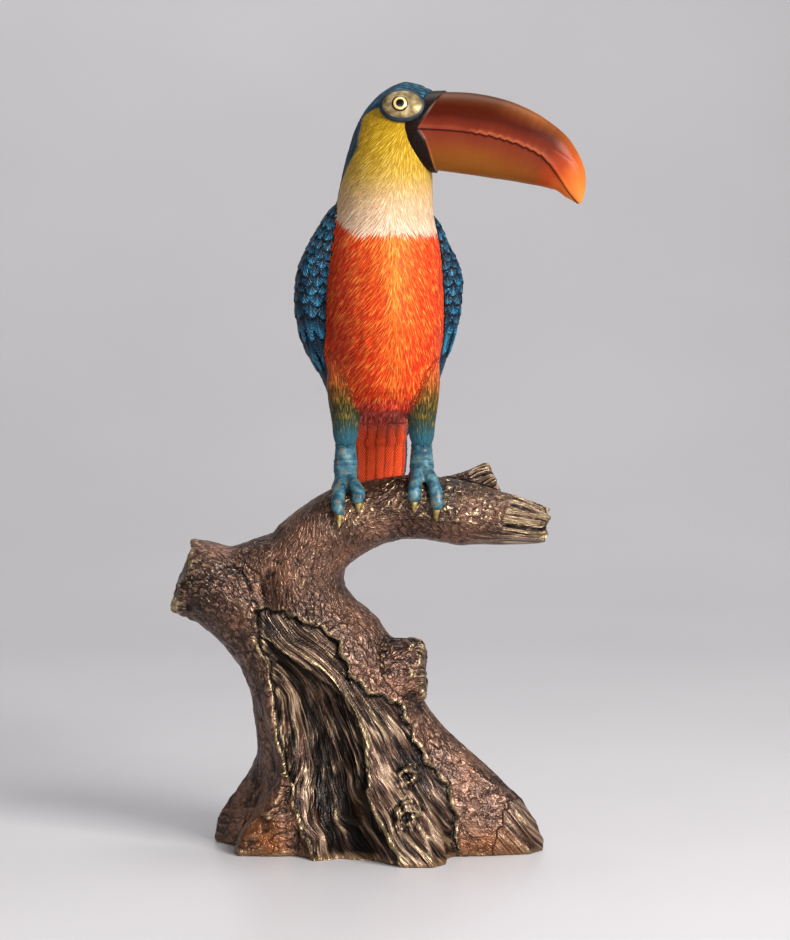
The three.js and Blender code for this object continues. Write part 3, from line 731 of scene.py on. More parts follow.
def bronze_patina(add):
    """Cast bronze under a dark brown chemical patina and wax: black in the recesses, brown with a soft
    sheen on the bark, and rubbed through to brass along the sharpest edges. Pale coats on the bark's
    crests and the wood's fibres are painted highlights. Painted shade darkens the middle of the hollow
    and a strip inside its right lip. A dark painted shadow line and a pale painted highlight line run
    by the bark's ragged edge and the hollow's lips."""
    relief, ridge, bare, curl, foot, rust, edge = kept(
        add, "relief", "ridge", "bare", "curl", "height", "rust", "edge")
    flow = add("Attribute", out="Vector", attribute_name="grain")
    cloud = mottle(add, 33.0, 3.0)
    grit = mottle(add, 1.1, 2.0)
    sway = mottle(add, 7.7, 2.0, "Color")
    swayed = add("VectorMath", {0: sway, 1: (8.0, 8.0, 8.0), 2: flow}, operation="MULTIPLY_ADD")

    # Bark: wrinkles 3 mm wide and twice as long, and cracks round flakes 5 mm by 9 mm
    wrinkle, crest = ridges(add, swayed, (3.0, 6.0, 5.0), 2.0, 0.34)
    flake = add("Mapping", {"Vector": swayed, "Scale": (1 / 5.0, 1 / 9.0, 0.2)})
    crack = add("TexVoronoi", {"Vector": flake, "Scale": 1.0}, out="Distance", feature="DISTANCE_TO_EDGE")
    crack = add("MapRange", {0: crack, 1: 0.0, 2: 0.14, 4: 0.5})
    bark_skin = add("Math", {0: crest, 1: 0.5, 2: crack}, operation="MULTIPLY_ADD")

    # The branch: curled marks 6 mm across
    curled = add("VectorMath", {0: sway, 1: (4.0, 4.0, 4.0), 2: flow}, operation="MULTIPLY_ADD")
    curled = add("Mapping", {"Vector": curled, "Scale": (1 / 6.0, 1 / 7.0, 0.3)})
    curled = add("TexVoronoi", {"Vector": curled, "Scale": 1.0}, out="Distance")
    curled = add("Math", {0: curled, 1: 0.42}, operation="SUBTRACT")
    curled = add("MapRange", {0: add("Math", {0: curled}, operation="ABSOLUTE"), 1: 0.15, 2: 0.0})
    curled = add("Math", {0: curled, 1: add("Math", {0: bark_skin, 1: 0.6}, operation="MULTIPLY")},
                 operation="MAXIMUM")

    # Bare wood: fibres 1.6 mm apart on ridges 3.8 mm apart
    _, fibre = ridges(add, flow, (1.6, 26.0, 1.0), 2.0, 0.34)
    _, coarse = ridges(add, flow, (3.8, 40.0, 1.0), 1.0, 0.38)
    fibre = add("Math", {0: fibre, 1: 0.6, 2: add("Math", {0: coarse, 1: 0.7}, operation="MULTIPLY")},
                operation="MULTIPLY_ADD")
    texture = add("Mix", {0: curl, 2: bark_skin, 3: curled})
    texture = add("Mix", {0: bare, 2: texture, 3: fibre})
    texture = add("Math", {0: grit, 1: 0.3, 2: texture}, operation="MULTIPLY_ADD")

    bark = add("ValToRGB", {0: cloud}, stops=((0.3, "#34241c"), (0.5, "#543b2e"), (0.7, "#805c49")))
    # The pale coat on the bark's crests is a painted highlight.
    bark = coats(add, bark, (texture, 0.85, 1.15, 0.5, "#b08c78"))
    wood = add("ValToRGB", {0: cloud}, stops=((0.3, "#3c2a21"), (0.7, "#6a4e40")))
    # The pale coat on the fibres' crests is a painted highlight; the dark one in their grooves is patina.
    wood = coats(add, wood, (fibre, 0.65, 1.05, 0.9, "#bca088"), (fibre, 0.45, 0.1, 0.85, "#120b08"))
    rusted = add("Math", {0: rust, 1: add("MapRange", {0: cloud, 1: 0.3, 2: 0.6})}, operation="MULTIPLY")
    sharp = add("Math", {0: texture, 1: 0.5, 2: ridge}, operation="MULTIPLY_ADD")
    lifted = add("Math", {0: curled, 1: curl}, operation="MULTIPLY")
    sharp = add("Math", {0: lifted, 1: 0.35, 2: sharp}, operation="MULTIPLY_ADD")
    # By the bark's ragged edge and the hollow's lips run a dark line, a painted shadow, and beside it a pale
    # line, a painted highlight.
    ragged = add("Math", {0: wrinkle, 1: 5.0, 2: edge}, operation="MULTIPLY_ADD")
    painted_shadow_line, lip = (
        add("Math", {0: add("Math", {0: ragged, 1: -middle})}, operation="ABSOLUTE") for middle in (1.6, 3.0))
    strip = add("Math", {0: cloud, 1: 6.0, 2: foot}, operation="MULTIPLY_ADD")
    # The relief coat is patina in the recesses, and also the painted shade in the hollow and the painted
    # shadow inside its right lip.
    base = coats(
        add, bark,
        (bare, 0.3, 0.7, 1.0, wood), (rusted, 0.0, 1.0, 1.0, "#8a5428"),
        (texture, 0.55, 0.2, 0.75, "#110a07"), (relief, -0.1, -0.85, 0.9, "#0c0806"),
        (painted_shadow_line, 1.0, 0.5, 0.85, "#0a0605"), (lip, 0.6, 0.2, 0.5, "#a8946e"),
        (sharp, 0.8, 1.5, 0.8, "#bca784"), (strip, 7.5, 5.5, 0.5, "#8a6c4c"),
    )
    depth = add("MapRange", {0: bare, 3: 0.8 * MM, 4: 1.4 * MM})
    bump = add("Bump", {"Height": texture, "Distance": depth})
    return {
        "Base Color": base, "Metallic": add("MapRange", {0: sharp, 1: 0.8, 2: 1.4, 3: 0.55, 4: 0.95}),
        "Roughness": add("MapRange", {0: grit, 1: 0.3, 2: 0.7, 3: 0.3, 4: 0.42}),
        "Coat Weight": 0.22, "Coat Roughness": 0.28, "Normal": bump, "Coat Normal": bump,
    }


# Stump

BARK_EDGE = [  # x and z
    (-77, 160), (-63, 158.5), (-50, 154.5), (-29.5, 143), (-21, 126), (-6.5, 108), (11, 99.5), (22, 82),
    (31, 62), (42.5, 47), (51, 24), (52, -8),
]
HOLLOW = [  # x, z and half its width
    (-88, 156, 0.5), (-75, 141, 2), (-60, 124, 10), (-45, 104, 21), (-36, 80, 27.5), (-32, 60, 26.5),
    (-31, 44, 24), (-24, 22, 26), (-12, 2, 28),
]
KNOTS = [(19.5, 53, 7), (19.5, 31, 8.5)]  # x, z and radius
FOLD = [(-102, 186), (-93, 187), (-86, 182.5), (-81, 172.5), (-77, 162), (-76, 150), (-75, 137)]


def side_of_path(x, z, path):
    """Signed distance to a path in X and Z: positive to its right as it runs down."""
    best = np.full(len(x), 1e9)
    sign = np.ones(len(x))
    for (x0, z0), (x1, z1) in zip(path, path[1:]):
        dx, dz = x1 - x0, z1 - z0
        share = np.clip(((x - x0) * dx + (z - z0) * dz) / (dx * dx + dz * dz), 0, 1)
        gap = np.hypot(x - x0 - share * dx, z - z0 - share * dz)
        turn = np.sign((z - z0) * dx - (x - x0) * dz)
        nearer = gap < best
        best = np.where(nearer, gap, best)
        sign = np.where(nearer, turn, sign)
    return best * sign


def bark_teeth():
    """The bark's ragged edge, with the same teeth as the casting's."""
    steps = 30
    path = catmull([(x, z, 0) for x, z in BARK_EDGE], np.arange(steps + 1) / steps)[:, :2]
    number = np.arange(steps + 1)
    tooth = np.where(number % 2, 2.2, -2.2) * (0.6 + 0.4 * np.sin(number * 2.3))
    return path + tooth[:, None] * (1, 0.7)


def eased_joints(piece, points, seats):
    """Melts the creases where the knob and the cut limb leave the trunk."""
    knob_length, knob_height = seats[2][1], seats[2][3]
    knob_joint = np.exp(-((knob_height - 1) / 4) ** 2) * smooth_step(62, 50, knob_length)
    knob_joint = knob_joint * smooth_step(60, 70, points[:, 2])
    limb_joint = np.exp(-(np.maximum(np.abs(seats[0][3]), np.abs(seats[1][3])) / 6) ** 2)
    soft = np.maximum(knob_joint, limb_joint)[:, None]
    return points + soft * (around(piece, points, 16) - points)


def wood_grain(across, z):
    """Fibres that run down the bare wood."""
    coarse = np.abs(drawn_noise(across, z, 3.3, 60.0, 31))
    narrow = np.abs(drawn_noise(across, z, 1.7, 24.0, 32, (0, 0, 5)))
    return 1.3 * (0.35 - coarse) + 0.9 * (0.35 - narrow)


def bark_wrinkles(points, across, length):
    """Soft ropes drawn out along the limb, with small wrinkles on them."""
    sway = 0.4 * lump_noise(points / 16.0, 41)[:, None]
    ropes = 0.5 - np.abs(drawn_noise(across, length, 8.0, 22.0, 42, sway))
    sway = 0.5 * lump_noise(points / 7.0, 43)[:, None]
    wrinkles = 0.4 - np.abs(drawn_noise(across, length, 4.2, 9.0, 44, sway))
    return 0.7 * ropes + 0.65 * wrinkles + 0.3 * lump_noise(points / 3.2, 45)


def curled_gouges(points):
    """Small shallow cups with a raised curl round each."""
    gap = cell_noise(points / 8.5 + 0.3 * lump_noise(points / 5.0, 50)[:, None], 51)
    return 0.45 * smooth_step(0.14, 0.0, np.abs(gap - 0.46)) - 0.12 * smooth_step(0.4, 0.15, gap)


def with_knots(relief, points, front):
    """Knots are crumbled rosettes: broken rings of wood round a pit."""
    x, _, z = points.T
    for knot_x, knot_z, radius in KNOTS:
        gap = np.hypot(x - knot_x, z - knot_z) / radius
        turn = np.arctan2(z - knot_z, x - knot_x)
        broken = 1.6 * np.sin(5 * turn + 4 * gap) + 2.2 * lump_noise(points / 4.0, 63)
        rosette = 0.5 * np.cos(gap * 8.5 + broken) + 1.0 * lump_noise(points / 2.4, 65)
        rosette = rosette - 0.9 * np.exp(-(gap / 0.3) ** 2)
        near = smooth_step(1.55, 0.95, gap) * front
        relief = relief * (1 - near) + rosette * near
    return relief


def make_stump():
    """The stump with its bark, bare wood, torn ends and knots."""
    piece = remeshed("tree_stump", "stump_casting", STUMP_GRAIN)
    points = points_of(piece)
    points = points + 0.6 * (around(piece, points, 2) - points)
    limbs = (trunk, cut_limb, knob, snag)
    seats = [limb.seat(points) for limb in limbs]
    points = eased_joints(piece, points, seats)
    put_points(piece, points)
    out = normals_of(piece)
    x, y, z = points.T

    # Place across and along the nearest limb. The trunk's girth shrinks as it becomes the branch
    heights = np.stack([np.abs(seat[3]) for seat in seats])
    heights[1:][heights[1:] > 4] = 999
    nearest = heights.argmin(0)
    on_trunk = nearest == 0
    length, angle = (np.choose(nearest, [seat[column] for seat in seats]) for column in (1, 2))
    branch = np.where(on_trunk, smooth_step(0.56, 0.66, seats[0][0]), 0.0)
    girth = np.where(on_trunk, 44 - 23 * branch, np.choose(nearest, [40.0, 28.0, 22.0, 10.0]))
    across = angle * girth

    # Bare wood between the hollow's right lip and the bark's ragged edge
    edge = side_of_path(x, z, bark_teeth()) + 0.9 * lump_noise(points / 3.0, 12)
    front = smooth_step(-2, -12, y)
    below_bark_top = smooth_step(166, 161, z)
    below_hollow_top = smooth_step(146, 138, z)
    hollow_places, hollow_levels, hollow_halves = np.array(HOLLOW[::-1]).T
    hollow_x = np.interp(z, hollow_levels, hollow_places)
    hollow_half = np.interp(z, hollow_levels, hollow_halves)
    in_hollow = smooth_step(1.15, 0.9, np.abs(x - hollow_x) / hollow_half) * front * below_hollow_top
    between = smooth_step(0.5, -0.5, edge) * smooth_step(-0.3, 0.3, (x - hollow_x) / hollow_half) * front
    between = between * smooth_step(-77.5, -75.5, x)
    bare = np.clip(np.maximum(in_hollow, between * below_bark_top), 0, 1)

    # Grain runs down the wood and swings out into the roots
    wander = 3.5 * lump_noise(points / 34.0, 21) + 1.2 * lump_noise(points / 13.0, 22)
    swing = (x - hollow_x) / (1 + 0.012 * np.maximum(140 - z, 0)) * 1.15
    wood_across = np.where(front > 0.5, swing, across) + wander

    # The upper side of the branch, and a little of the bend, is gouged
    bend = smooth_step(150, 175, z) * np.where(on_trunk, 1.0, 0.0)
    gouged = np.maximum(branch, 0.5 * bend) * smooth_step(-0.75, 0.1, out[:, 2])
    relief = bark_wrinkles(points, across, length) * (1 - 0.4 * gouged) + curled_gouges(points) * gouged
    relief = relief * (1 - bare) + wood_grain(wood_across, z) * bare

    # Splintered fibres on the broken ends, and a smooth bare patch under the end of the branch
    ends = np.zeros(len(x))
    torn = np.zeros(len(x))
    for number, (limb, reach) in enumerate(zip(limbs, (24, 3, 4, 12))):
        start = limb.lengths[-1] - reach + 6 * lump_noise(points / 7.0, 67)
        ends = np.where(nearest == number, smooth_step(start - 1.5, start + 1.5, seats[number][1]), ends)
    for number in (1, 2):
        short_of_end = seats[number][1] - limbs[number].lengths[-1]
        torn = np.where(nearest == number, smooth_step(-17, -7, short_of_end), torn)
    relief = relief + torn * (1.3 * lump_noise(points / 5.5, 79) + 0.5 * lump_noise(points / 2.6, 80))
    patch = smooth_step(212, 207, z + 3 * lump_noise(points / 12.0, 68)) * smooth_step(54, 66, x) * branch
    patch = patch * smooth_step(0.5, 0.0, out[:, 1])
    splinter = 0.4 - np.abs(drawn_noise(across, length, 2.6, 30.0, 61))
    relief = relief * (1 - 0.9 * ends) + ends * (2.0 * splinter + 0.4 * lump_noise(points / 2.4, 62))
    relief = relief * (1 - patch) + patch * 0.25 * splinter
    along_limb = np.maximum(ends, 0.45 * patch)
    bare = np.maximum(bare, along_limb)

    # A fold runs down between the trunk and the cut limb
    fold = side_of_path(x, z, FOLD) + 1.2 * lump_noise(points / 5.0, 66)
    relief = relief + front * (0.4 * np.exp(-((fold - 2.6) / 1.6) ** 2) - 1.2 * np.exp(-(fold / 1.3) ** 2))

    # The right root's end is split into fibres that run down along it
    root_across, root_along = x * 0.77 + z * 0.64, x * 0.64 - z * 0.77
    split_end = smooth_step(76, 84, x + 7 * drawn_noise(root_across, 0 * x, 5.0, 1.0, 69))
    split_end = 0.8 * split_end * smooth_step(38, 30, z) * on_trunk
    split = np.abs(drawn_noise(root_across, root_along, 2.8, 30.0, 72))
    relief = relief * (1 - split_end) + split_end * 2.0 * (0.4 - split)
    bare = np.maximum(bare, split_end)
    relief = with_knots(relief, points, front)

    # The bark's lower edge and the hollow's lips stand a little proud, and the foot is trimmed smooth
    on_edge = front * below_bark_top * (1 - in_hollow) * smooth_step(-80, -76, x)
    relief = relief + on_edge * 0.7 * np.exp(-((edge - 1.6) / 1.8) ** 2)
    relief = relief - on_edge * 0.8 * np.exp(-((edge + 1.2) / 1.2) ** 2)
    rim = np.abs(x - hollow_x) - hollow_half
    rim = rim + 2.2 * lump_noise(points / 7.0, 77) + lump_noise(points / 3.0, 78)
    on_rim = front * below_hollow_top
    # A painted shadow darkens a strip just inside the hollow's right lip.
    painted_shadow_under_lip = on_rim * (x > hollow_x) * smooth_step(2, -1, rim) * smooth_step(-13, -3, rim)
    relief = relief + on_rim * 0.9 * np.exp(-((rim - 1.5) / 1.5) ** 2)
    relief = relief - on_rim * 1.1 * np.exp(-((rim + 1.5) / 1.8) ** 2)
    trim = smooth_step(2.0, 7.0, z + 1.5 * lump_noise(points / 9.0, 64))
    relief = relief * (0.1 + 0.9 * trim)
    points = points + out * (relief * smooth_step(0.05, 0.4, z))[:, None]
    points[:, 2] = np.maximum(points[:, 2], 0)
    put_points(piece, points)

    # What stands out of its surroundings is rubbed bright
    out = normals_of(piece)
    fine, wide = (((points - around(piece, points, rounds)) * out).sum(1) for rounds in (2, 14))
    wood_or_curl = np.maximum(np.maximum(bare, gouged), torn)
    # Painted shade in the middle of the hollow and the painted shadow inside its right lip darken the relief
    # value.
    hollow_painted_shade = smooth_step(0.55, 0.05, np.abs(x - hollow_x + 2) / hollow_half) * in_hollow
    dark = 0.8 * hollow_painted_shade + 0.7 * painted_shadow_under_lip
    left_rust = np.exp(-(np.hypot(x + 78, z - 10) / 20) ** 2) * front
    right_rust = 0.6 * np.exp(-(np.hypot((x - 70) / 2.2, z - 2) / 12) ** 2)
    edge = np.where(on_edge > 0.5, np.clip(edge, -30, 30), 30.0)
    flow = np.stack([across, length, 0 * x], 1)
    wood_flow = np.stack([wood_across, z, 0 * x], 1)
    split_flow = np.stack([root_across, root_along, 0 * x], 1)
    follows_trunk = (bare > 0.5) & (along_limb < 0.5)
    flow = np.where(follows_trunk[:, None], wood_flow, flow)
    keep_values(
        piece, relief=np.clip(relief * 0.6 + wide * 1.2 - dark, -1, 1),
        ridge=np.clip((fine * 3.0 + wide * 0.5) * (0.45 + 0.4 * wood_or_curl), -1, 1),
        bare=bare, curl=gouged, height=z, rust=np.clip(np.maximum(left_rust, right_rust) * 1.4, 0, 1),
        edge=np.where((on_rim > 0.5) & (np.abs(rim) < np.abs(edge)), rim, edge),
        grain=np.where(split_end[:, None] > 0.3, split_flow, flow),
    )
    return piece


# Toucan

def feather_tiles(across, rows, width):
    """Feathers laid like tiles, the upper over the lower: the offset from the shaft, and how many rows
    back from the feather's tip."""
    row = np.ceil(rows) - 1
    found_aside = found_back = None
    for step in (2, 1, 0):
        number = row + step
        aside = (across / width + 0.5 * (number % 2) + 0.5) % 1.0 - 0.5
        tip = (number + 1) - 0.7 * (1 - np.sqrt(1 - (1.99 * aside) ** 2))
        covered = rows <= tip
        if found_aside is None:
            found_aside, found_back = aside * width, tip - rows
        found_aside = np.where(covered, aside * width, found_aside)
        found_back = np.where(covered, tip - rows, found_back)
    return found_aside, found_back


def wing_feathers(points, seat):
    """Relief, tone and plume of a wing: short coverts above, long feathers below."""
    _, length, angle, _ = seat
    turns = np.linspace(-math.pi, math.pi, 181)
    steps = np.hypot(16 * np.sin(turns[1:]), 32 * np.cos(turns[1:])) * (turns[1] - turns[0])
    girdle = np.concatenate([[0], np.cumsum(steps)])
    place = np.interp(angle, turns, girdle) + 3.0 * lump_noise(points / 12.0, 75)
    long_rows = COVERTS_LENGTH / COVERT_PITCH + (length - COVERTS_LENGTH) / QUILL_PITCH
    rows = np.where(length < COVERTS_LENGTH, length / COVERT_PITCH, long_rows)
    pitch = np.where(length < COVERTS_LENGTH, COVERT_PITCH, QUILL_PITCH)
    side, back = feather_tiles(place, rows + 0.45 * lump_noise(points / 12.0, 76), 8.0)
    back = back * pitch
    raised_tip = 1 - np.clip(back / (1.6 * pitch), 0, 1)
    relief = 1.5 * raised_tip - 0.8 + 0.25 * np.exp(-(side / 0.8) ** 2)
    # The tone lightens each feather's raised tip, a painted highlight, and darkens the strip just under the
    # tip above, a painted shadow.
    rim = smooth_step(0.2, 1.0, back)
    tone = (raised_tip * 1.5 - 0.5) * rim - 0.8 * (1 - rim)
    return relief, tone, np.stack([side, back, 0 * side], 1)


def tail_feathers(points, seat):
    """Relief, tone and plume of the tail: six long feathers side by side, with down at their root."""
    z = points[:, 2]
    wide = np.cos(seat[2]) * TAIL_HALF
    vane = (wide / VANE_WIDTH + 0.5) % 1.0 - 0.5
    groove = np.exp(-((np.abs(vane) - 0.5) * VANE_WIDTH / 0.7) ** 2)
    feathered = smooth_step(279, 273, z)
    down = drawn_noise(wide, z, 2.4, 9.0, 73)
    relief = feathered * (0.5 * (1 - 4 * vane ** 2) - 0.5 * groove) + (1 - feathered) * 0.3 * down
    tone = feathered * (0.5 - 1.4 * groove) + (1 - feathered) * down
    return relief, tone, np.stack([np.where(feathered > 0.3, vane * VANE_WIDTH, wide), z, 0 * z], 1)


def leg_scales(points, seat, out, is_toe):
    """Relief and tone of the scales round a shank, or across the top of a toe."""
    pitch, strength, facing = 3.4, 1.0, 1.0
    if is_toe:
        pitch, strength, facing = 3.0, 0.45, smooth_step(-0.4, 0.3, out[:, 2] - out[:, 1])
    step = (seat[1] / pitch) % 1.0
    ring = (0.5 - np.exp(-((step - 0.5) / 0.16) ** 2)) * facing
    return 0.42 * strength * ring + 0.2 * lump_noise(points / 2.2, 74), strength * ring


def cut_beak_off(bm):
    """The beak is a finer piece of its own, so the rest of the casting ends inside it."""
    beak_way = Vector(turned(1, 0, 0, -BEAK_TURN))
    level = Vector(on_beak(21, 200) * MM)
    head = [v for v in bm.verts if v.co.z > 0.425 and v.co.x > 0.0]
    around_it = set(head)
    geometry = head
    geometry = geometry + [e for e in bm.edges if all(v in around_it for v in e.verts)]
    geometry = geometry + [f for f in bm.faces if all(v in around_it for v in f.verts)]
    bmesh.ops.bisect_plane(bm, geom=geometry, plane_co=level, plane_no=beak_way, clear_outer=False)
    beyond = [v for v in bm.verts if v.co.z > 0.415 and (v.co - level).dot(beak_way) > 1e-5]
    bmesh.ops.delete(bm, geom=beyond, context="VERTS")
    rim = [e for e in bm.edges if e.is_boundary]
    bmesh.ops.holes_fill(bm, edges=rim, sides=0)
    bmesh.ops.recalc_face_normals(bm, faces=bm.faces)


NAPE = [  # height, bearing of the nape in degrees, and how far the blue spreads to each side of it
    (395, 100, 88), (414, 100, 84), (433, 135, 56), (456, 168, 48), (470, 168, 38), (476, 168, 32),
    (481, 168, 54), (485, 168, 86), (490, 168, 140), (494, 168, 200),
]


BODY, TAIL, WING, THIGH, LEG, CLAW, BEAK = range(7)
FINISH_OF_KIND = [0, 2, 1, 0, 3, 3, 0]


def make_toucan():
    """The toucan with its plumage, wing and tail feathers and scales."""
    piece = remeshed("toucan", "toucan_casting", TOUCAN_GRAIN, cut_beak_off)
    points = points_of(piece)
    limbs = [body, tail, wing(-1), wing(1), thigh(LEFT_FOOT), thigh(RIGHT_FOOT), shank(LEFT_FOOT),
             shank(RIGHT_FOOT), *toes, *claws, beak]
    legs = [LEG] * (2 + len(toes)) + [CLAW] * len(claws)
    kinds = np.array([BODY, TAIL, WING, WING, THIGH, THIGH, *legs, BEAK])
    seats = [limb.seat(points) for limb in limbs]
    heights = np.stack([seat[3] for seat in seats])
    nearest = np.abs(heights).argmin(0)
    over_body, over_thighs = heights[:2].min(0), heights[4:6].min(0)
    joint = np.exp(-(np.maximum(over_body, over_thighs) / 7) ** 2)

    # Each facet of the cast form is eased out to its true curve
    gap = heights[nearest, np.arange(len(points))]
    centre = np.zeros_like(points)
    for number, (limb, seat) in enumerate(zip(limbs, seats)):
        mine = nearest == number
        if mine.any():
            centre[mine] = limb.frame(seat[0][mine])[0]
    eased = np.where(np.abs(gap) < 0.9, gap, 0) * smooth_step(1.0, 0.6, np.abs(gap))
    points = points - unit(points - centre) * (eased * (1 - joint))[:, None]
    points = points + 0.75 * (around(piece, points, 3) - points)
    points = points + joint[:, None] * (around(piece, points, 70) - points)
    put_points(piece, points)
    out = normals_of(piece)
    x, y, z = points.T
    kind = kinds[nearest]
    kind = np.where((kind == BEAK) & (np.abs(gap) > 1.5), BODY, kind)

    # Plumage of the body, thighs and head: strokes that run down and fan out
    middle = body.frame(seats[0][0])[0]
    bearing = np.degrees(np.arctan2(y - middle[:, 1], x - middle[:, 0]))
    radius = np.hypot(y - middle[:, 1], x - middle[:, 0])
    levels, bearings, spreads = np.array(NAPE, float).T
    off_nape = np.abs((bearing - np.interp(z, levels, bearings) + 180) % 360 - 180)
    crown_edge = np.radians(np.interp(z, levels, spreads) - off_nape) * radius
    crown_edge = np.where(z < 396, np.minimum(crown_edge, 5), crown_edge)
    around_body = np.radians((bearing + 80 + 180) % 360 - 180) * np.clip(radius, 20, 40)
    lean = np.where(around_body < 0, 1.15, 0.5) * np.tanh(around_body / 15)
    lean = lean * (0.6 + 0.4 * smooth_step(290, 335, z))
    lean = lean + 0.2 * lump_noise(points / 22.0, 70)
    on_crown = (crown_edge > 0) & (z > 474)
    ahead, aside = from_beak(x, y)
    crown_edge = np.where((ahead > 6) & (z > 483), 5, crown_edge)
    on_thigh = kind == THIGH
    thigh_across = np.where(x < PERCH[0], seats[4][2], seats[5][2]) * 10
    across = np.where(on_crown, aside, np.where(on_thigh, thigh_across, around_body))
    along = np.where(on_crown, ahead, z)
    lean = np.where(on_crown | on_thigh, 0, lean)
    clumps = 0.4 - np.abs(drawn_noise(across, along, 3.4, 12.0, 71, np.outer(z * lean / 12.0, (1, 0, 0))))
    feathered = np.isin(kind, (BODY, THIGH))
    relief = np.where(feathered, 0.3 * clumps, 0.0)
    tone = np.where(feathered, clumps * 0.6 * (1 - joint), 0.0)
    plume = np.stack([across, along, lean], 1)

    def dress(number, made):
        """Lays what was made for one limb over that limb's part of the surface."""
        mine = nearest == number
        for whole, part in zip((relief, tone, plume), made):
            whole[mine] = part[mine]

    dress(2, wing_feathers(points, seats[2]))
    dress(3, wing_feathers(points, seats[3]))
    dress(1, tail_feathers(points, seats[1]))
    for number in range(6, 8 + len(toes)):
        dress(number, leg_scales(points, seats[number], out, number >= 8))
    relief = np.where(kind == CLAW, -0.4, relief)
    relief = np.where(kind == BEAK, -1.4, relief)
    relief = around(piece, relief, 1) * 0.35 + relief * 0.65
    points = points + out * relief[:, None]
    put_points(piece, points)

    bib_level = 400 + 12 * np.clip((-12 - x) / 16, 0, 1) ** 1.5
    spread = np.where(nearest == 1, np.cos(seats[1][2]) * TAIL_HALF, around_body)
    keep_values(
        piece, plume=plume, tone=np.clip(tone, -1, 1), height=z, spread=np.abs(spread),
        crown_edge=np.clip(crown_edge, -20, 20), bib_edge=z - bib_level,
        thigh_edge=over_body - heights[4:8].min(0), back_side=out @ BACK_WAY,
    )
    for name, finish in (
        ("brushed enamel over plumage", feather_enamel), ("dark blue enamel over wing feathers", wing_enamel),
        ("orange enamel over tail feathers", tail_enamel), ("blue enamel over scales", leg_enamel),
    ):
        piece.data.materials.append(made_material(name, finish))
    corners = read_whole(piece.data.loops, "vertex_index")
    first_corner = read_whole(piece.data.polygons, "loop_start")
    finishes = np.array(FINISH_OF_KIND, np.int32)[kind]
    piece.data.polygons.foreach_set("material_index", finishes[corners[first_corner]])
    piece.data.update()
    return piece


COLLAR_BACK = [(23, 254), (13, 240), (7, 233), (3.5, 227), (2, 190)]
CREASE = [(99, 211), (101.7, 209.2), (108.3, 204.5), (113, 200.4), (117.4, 193.7)]
COLLAR_FRONT = [
    (32, 253), (23, 240), (17.5, 231), (13.6, 224), (18, 217), (20, 210), (21.4, 203), (23, 188),
]


def make_beak():
    """The beak with its hook, the step and teeth of the mouth and the proud dark collar."""
    found = {}

    def shape(share, angle):
        level = -0.07 + 0.4 * smooth_step(0.64, 0.88, share)
        half = np.interp(share, np.linspace(0, 1, len(beak.girth)), [g[0] for g in beak.girth])
        along = np.interp(share, beak.shares, beak.lengths)
        teeth = smooth_step(48, 60, along) * smooth_step(118, 100, along)
        saw = 1.0 * teeth * ((along / 6.0 + 0.15 * np.sin(along / 3.0)) % 1.0 - 0.5)
        mouth = (level - np.cos(angle)) * half + saw
        below = smooth_step(0.0, -0.9, mouth)
        lip = np.exp(-((mouth - 0.9) / 0.9) ** 2)
        fade = smooth_step(12, 24, along) * smooth_step(136, 124, along)
        points, _ = beak.surface(share, angle)
        ahead, _ = from_beak(points[:, 0], points[:, 1])
        up = points[:, 2] - PERCH[2]
        collar = smooth_step(0.4, -0.4, side_of_path(ahead, up, COLLAR_FRONT))
        brow = smooth_step(0.3, -0.3, side_of_path(ahead, up, COLLAR_BACK))
        found.update(mouth=mouth, along=along, tooth=lip * teeth, collar=collar, brow=brow)
        crease = np.exp(-(side_of_path(ahead, up, CREASE) / 0.5) ** 2)
        swell = collar * (0.9 + 0.9 * below * fade) - 1.2 * brow
        return 0.3 - below * fade + 0.35 * lip * fade - 0.2 * crease + swell

    bm, share, angle = bent_cylinder(beak, 144, 220, shape)
    piece = new_piece("beak", bm)
    keep_values(piece, **found)
    piece.data.materials.append(made_material("copper lacquer", beak_enamel))
    return piece


def make_claws():
    """Eight curved brass claws, one on each toe."""
    whole = bmesh.new()
    for claw in claws:
        bm, _, _ = bent_cylinder(claw, 16, 16, lambda share, angle: 0.3 * (1 - share))
        part = bpy.data.meshes.new("claw")
        bm.to_mesh(part)
        bm.free()
        whole.from_mesh(part)
        bpy.data.meshes.remove(part)
    piece = new_piece("claws", whole)
    piece.data.materials.append(made_material("bare brass", bare_brass))
    return piece


